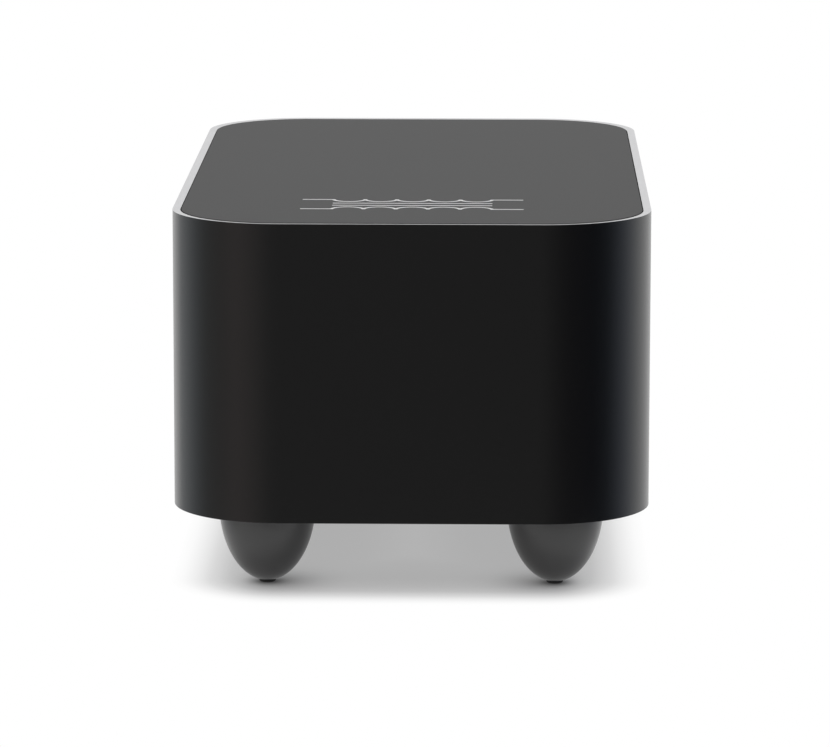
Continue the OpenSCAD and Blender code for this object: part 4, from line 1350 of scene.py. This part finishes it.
def ground_path(lead):
    """From the lug under the foot's screw up the rear wall to the ground stud's lug."""
    foot = middle("foot_rear_right")
    stud = middle("ground_stud")
    side_x = middle("input_left_shell").x
    low = Vector((foot.x, foot.y + 0.01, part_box("base_plate")[1].z + 0.0006))
    high = Vector((0, REAR - 0.0026, stud.z - 0.0067))
    run_y = high.y - 0.007
    points = [low, *(Vector(place) for place in (
        (low.x, low.y, low.z + 0.003), (low.x - 0.001, run_y - 0.001, (low.z + stud.z) / 2),
        ((low.x + side_x) / 2, run_y, stud.z - 0.004), (side_x, run_y, stud.z - 0.002),
        (side_x / 2, run_y, stud.z - 0.003),
    ))]
    return smooth([*points, *straight_in(high)], lead.step)


# Each pair of leads: side, winding, socket, node and slot
LEADS = [
    ("left", 0, "input_left", "left_primary_leads", "lead_white"),
    ("left", 1, "output_left", "left_secondary_leads", "lead_blue"),
    ("right", 0, "input_right", "right_primary_leads", "lead_red"),
    ("right", 1, "output_right", "right_secondary_leads", "lead_orange"),
]


def build_wiring(coil, lead):
    """Leads from each winding to its socket, the ground wire, the lugs, and the solder on them"""
    places = []
    for side, kind, socket, node, slot in LEADS:
        lay_wire(node + "_drawn", lead_paths(coil, lead, side, kind, socket), lead.radius, node, slot)
        places += joint_places(socket)
    path = ground_path(lead)
    lay_wire("ground_wire_drawn", [path], lead.radius, "ground_wire", "lead_green")
    places += [path[0], path[-1]]
    dress("tinned_brass", 0.00008, "socket_lugs", "earth_lugs")
    drop = turned(arc(0, 0, lead.solder, -90, 90, 12), DROP_STEPS)
    solder = skin("solder_joints", *together([moved(drop, Matrix.Translation(place)) for place in places]))
    finished(solder, finish_of("tinned_brass"), [], crease=SOFT_CREASE)


def build_sockets():
    """Four phono sockets: shell, contact, insulation, rings, washers and nuts"""
    for socket in SOCKETS:
        dress("gold_plate", 0.00012, socket + "_shell")
        dress("gold_plate", 0.00006, socket + "_contact")
    dress("socket_white", 0.0001, "socket_dielectrics", "socket_rings_white", "socket_washers")
    dress("socket_red", 0.0001, "socket_rings_red")
    dress("gold_plate", 0.00012, "socket_nuts")


def on_rear(at):
    """Turns what stands along Z so that it stands out of the rear wall at a place."""
    return Matrix.Translation((at.x, REAR, at.z)) @ Matrix.Rotation(-math.pi / 2, 4, "X")


def knurled(settings, radius):
    """A rim's radius at an angle, with round grooves."""
    wheel = settings.knurl_radius
    centre = radius + wheel - settings.knurl_depth
    share_of_turn = math.tau / settings.knurls

    def at(angle):
        off = (angle + share_of_turn / 2) % share_of_turn - share_of_turn / 2
        inside = wheel ** 2 - (centre * math.sin(off)) ** 2
        return min(radius, centre * math.cos(off) - math.sqrt(inside)) if inside > 0 else radius
    return at


def build_stud(settings):
    """The threaded stud, with a hexagonal flange outside the wall"""
    low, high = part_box("ground_stud")
    crest, depth, pitch = settings.stud_radius, settings.thread_depth, settings.thread_pitch
    width, height = settings.flange_width, settings.flange_height
    turned_down = cut_hexagon(width, width * 0.53)
    out, inner = high.y - REAR, low.y - REAR
    wall = bpy.context.scene.stepup_case.wall
    ease = 0.0003
    bevel = 0.0002
    profile = [
        (0, inner), *threaded(crest, depth, pitch, inner, -wall - 0.0001, ease), (crest, -wall), (crest, 0),
        (hexagon(width), 0), (hexagon(width), height - bevel), (turned_down, height),
        (crest, height), *thread(crest - depth, crest, pitch, height + bevel, out - ease),
        (crest - depth, out), (0, out),
    ]
    stud = skin("ground_stud_cut", *moved(turned(profile, SMALL_STEPS), on_rear((low + high) / 2)))
    finished(stud, finish_of("gold_plate"), ["ground_stud"], crease=THREAD_CREASE)


def build_thumb_nut(settings):
    """The knurled nut that turns on the stud, with a plain collar towards the wall and a dished face"""
    low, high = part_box("ground_thumb_nut")
    radius = (high.x - low.x) / 2
    start, end = low.y - REAR, high.y - REAR
    top = start + settings.collar_height
    ease = 0.0004
    bevel = 0.0002
    lead_in = 0.0003
    rim, eased_rim = knurled(settings, radius), knurled(settings, radius - ease)
    bore, collar = settings.bore_radius, settings.collar_radius
    profile = [
        (bore + lead_in, start), (collar - bevel, start), (collar, start + bevel), (collar, top),
        (eased_rim, top), (rim, top + ease), (rim, end - ease), (eased_rim, end), (bore + 4 * lead_in, end),
        (bore + 3 * lead_in, end - ease), (bore + lead_in, end - ease), (bore, end - ease - lead_in),
        (bore, start + lead_in),
    ]
    nut = skin("ground_thumb_nut_knurled",
               *moved(turned(profile, settings.knurls * 12), on_rear(middle("ground_stud"))))
    finished(nut, finish_of("gold_plate"), ["ground_thumb_nut"], "thumb_nut", THREAD_CREASE)


def build_ground(settings):
    """Ground terminal: threaded stud, its nut, the clamp washer, and the thumb nut that turns on it"""
    build_stud(settings)
    dress("gold_plate", 0.00012, "ground_stud_nut")
    dress("gold_plate", 0.0001, "ground_clamp_washer", body="clamp_washer")
    build_thumb_nut(settings)


# Turns what lies flat so that it is read on the rear wall from behind
FACING = Matrix(((-1, 0, 0, 0), (0, 0, 1, 0), (0, 1, 0, 0), (0, 0, 0, 1)))
# A capital letter's height as a part of the font's size
CAPITAL = 0.7
# The ground sign in metres: drop below the stud, spacing and half widths of its bars, line width and stem
SIGN_DROP = 0.0079
SIGN_STEP = 0.0008
SIGN_BARS = (0.0018, 0.0012, 0.0006)
SIGN_LINE = 0.0003
SIGN_STEM = 0.0016


def on_wall(part, x, z):
    """A flat skin moved onto the rear wall."""
    return moved(part, Matrix.Translation((x, REAR, z)) @ FACING)


def letters(text, height):
    """Plain letters as a flat skin round their middle."""
    curve = bpy.data.curves.new("letters", "FONT")
    curve.body = text
    curve.size = height / CAPITAL
    curve.extrude = bpy.context.scene.stepup_top.ink
    curve.resolution_u = 4
    curve.align_x = "CENTER"
    curve.align_y = "CENTER"
    holder = link("letters", curve)
    graph = bpy.context.evaluated_depsgraph_get()
    mesh = bpy.data.meshes.new_from_object(holder.evaluated_get(graph))
    bpy.data.objects.remove(holder)
    return [v.co for v in mesh.vertices], [tuple(face.vertices) for face in mesh.polygons]


def build_legends(settings):
    """The rear wall's plain marks: in, out, left, right and the ground sign"""
    ink = bpy.context.scene.stepup_top.ink
    upper, lower = middle("input_left_shell"), middle("input_right_shell")
    over, aside = 0.0115, 0.001
    places = [
        ("IN", upper.x, upper.z + over), ("OUT", -upper.x, upper.z + over),
        ("L", 0, upper.z + aside), ("R", 0, lower.z - aside),
    ]
    skins = [on_wall(letters(text, settings.letter), x, z) for text, x, z in places]
    top = middle("ground_stud").z - SIGN_DROP
    for k, half in enumerate(SIGN_BARS):
        skins.append(on_wall(bar((-half, 0), (half, 0), SIGN_LINE, -ink, ink), 0, top - SIGN_STEP * k))
    skins.append(on_wall(bar((0, 0), (0, SIGN_STEM), SIGN_LINE, -ink, ink), 0, top))
    legends = skin("rear_legends", *together(skins))
    paint(legends, finish_of("white_ink"))
    stand_for(legends, [])


class STEPUP_OT_stage(Operator):
    """Make the camera, the light and the floor"""

    bl_idname = "stepup.stage"
    bl_label = "Stage"

    def execute(self, context):
        build_stage(context.scene.stepup_stage)
        return {"FINISHED"}


class STEPUP_OT_case(Operator):
    """Make the sleeve with its bare rim"""

    bl_idname = "stepup.case"
    bl_label = "Sleeve"

    def execute(self, context):
        build_case(context.scene.stepup_case)
        return {"FINISHED"}


class STEPUP_OT_top(Operator):
    """Make the top plate and its sign"""

    bl_idname = "stepup.top"
    bl_label = "Top plate"

    def execute(self, context):
        build_top(context.scene.stepup_top)
        return {"FINISHED"}


class STEPUP_OT_feet(Operator):
    """Make the feet and their pads"""

    bl_idname = "stepup.feet"
    bl_label = "Feet"

    def execute(self, context):
        build_feet(context.scene.stepup_foot)
        return {"FINISHED"}


class STEPUP_OT_plates(Operator):
    """Make the base plate, the top's carrier and their screws"""

    bl_idname = "stepup.plates"
    bl_label = "Plates and screws"

    def execute(self, context):
        build_plates()
        return {"FINISHED"}


class STEPUP_OT_cans(Operator):
    """Make the shield cans and what holds the coils in them"""

    bl_idname = "stepup.cans"
    bl_label = "Shield cans"

    def execute(self, context):
        build_cans()
        return {"FINISHED"}


class STEPUP_OT_coils(Operator):
    """Make the ring coils with their windings and tape"""

    bl_idname = "stepup.coils"
    bl_label = "Coils"

    def execute(self, context):
        build_coils(context.scene.stepup_coil)
        return {"FINISHED"}


class STEPUP_OT_wiring(Operator):
    """Make the leads, the ground wire, the lugs and the solder"""

    bl_idname = "stepup.wiring"
    bl_label = "Wiring"

    def execute(self, context):
        build_wiring(context.scene.stepup_coil, context.scene.stepup_lead)
        return {"FINISHED"}


class STEPUP_OT_sockets(Operator):
    """Make the phono sockets"""

    bl_idname = "stepup.sockets"
    bl_label = "Sockets"

    def execute(self, context):
        build_sockets()
        return {"FINISHED"}


class STEPUP_OT_ground(Operator):
    """Make the ground terminal"""

    bl_idname = "stepup.ground"
    bl_label = "Ground terminal"

    def execute(self, context):
        build_ground(context.scene.stepup_terminal)
        return {"FINISHED"}


class STEPUP_OT_legends(Operator):
    """Make the marks on the rear wall"""

    bl_idname = "stepup.legends"
    bl_label = "Rear legends"

    def execute(self, context):
        build_legends(context.scene.stepup_terminal)
        return {"FINISHED"}


OPERATORS = [
    STEPUP_OT_stage, STEPUP_OT_case, STEPUP_OT_top, STEPUP_OT_feet, STEPUP_OT_plates, STEPUP_OT_cans,
    STEPUP_OT_coils, STEPUP_OT_wiring, STEPUP_OT_sockets, STEPUP_OT_ground, STEPUP_OT_legends,
]


class STEPUP_PT_sidebar(Panel):
    """Lists the pieces of the step-up transformer"""

    bl_idname = "STEPUP_PT_sidebar"
    bl_label = "Step-up transformer"
    bl_space_type = "VIEW_3D"
    bl_region_type = "UI"
    bl_category = "Step-up"

    def draw(self, context):
        for operator in OPERATORS:
            self.layout.operator(operator.bl_idname)


GROUPS = {
    "stepup_case": CaseSettings,
    "stepup_top": TopSettings,
    "stepup_foot": FootSettings,
    "stepup_coil": CoilSettings,
    "stepup_lead": LeadSettings,
    "stepup_terminal": TerminalSettings,
    "stepup_stage": StageSettings,
}


def register():
    for name, group in GROUPS.items():
        bpy.utils.register_class(group)
        setattr(bpy.types.Scene, name, PointerProperty(type=group))
    for item in [*OPERATORS, STEPUP_PT_sidebar]:
        bpy.utils.register_class(item)


def unregister():
    for item in reversed([*OPERATORS, STEPUP_PT_sidebar]):
        bpy.utils.unregister_class(item)
    for name, group in GROUPS.items():
        delattr(bpy.types.Scene, name)
        bpy.utils.unregister_class(group)


def main():
    register()
    for operator in OPERATORS:
        getattr(bpy.ops.stepup, operator.bl_idname.split(".")[1])()


if __name__ == "__main__":
    main()
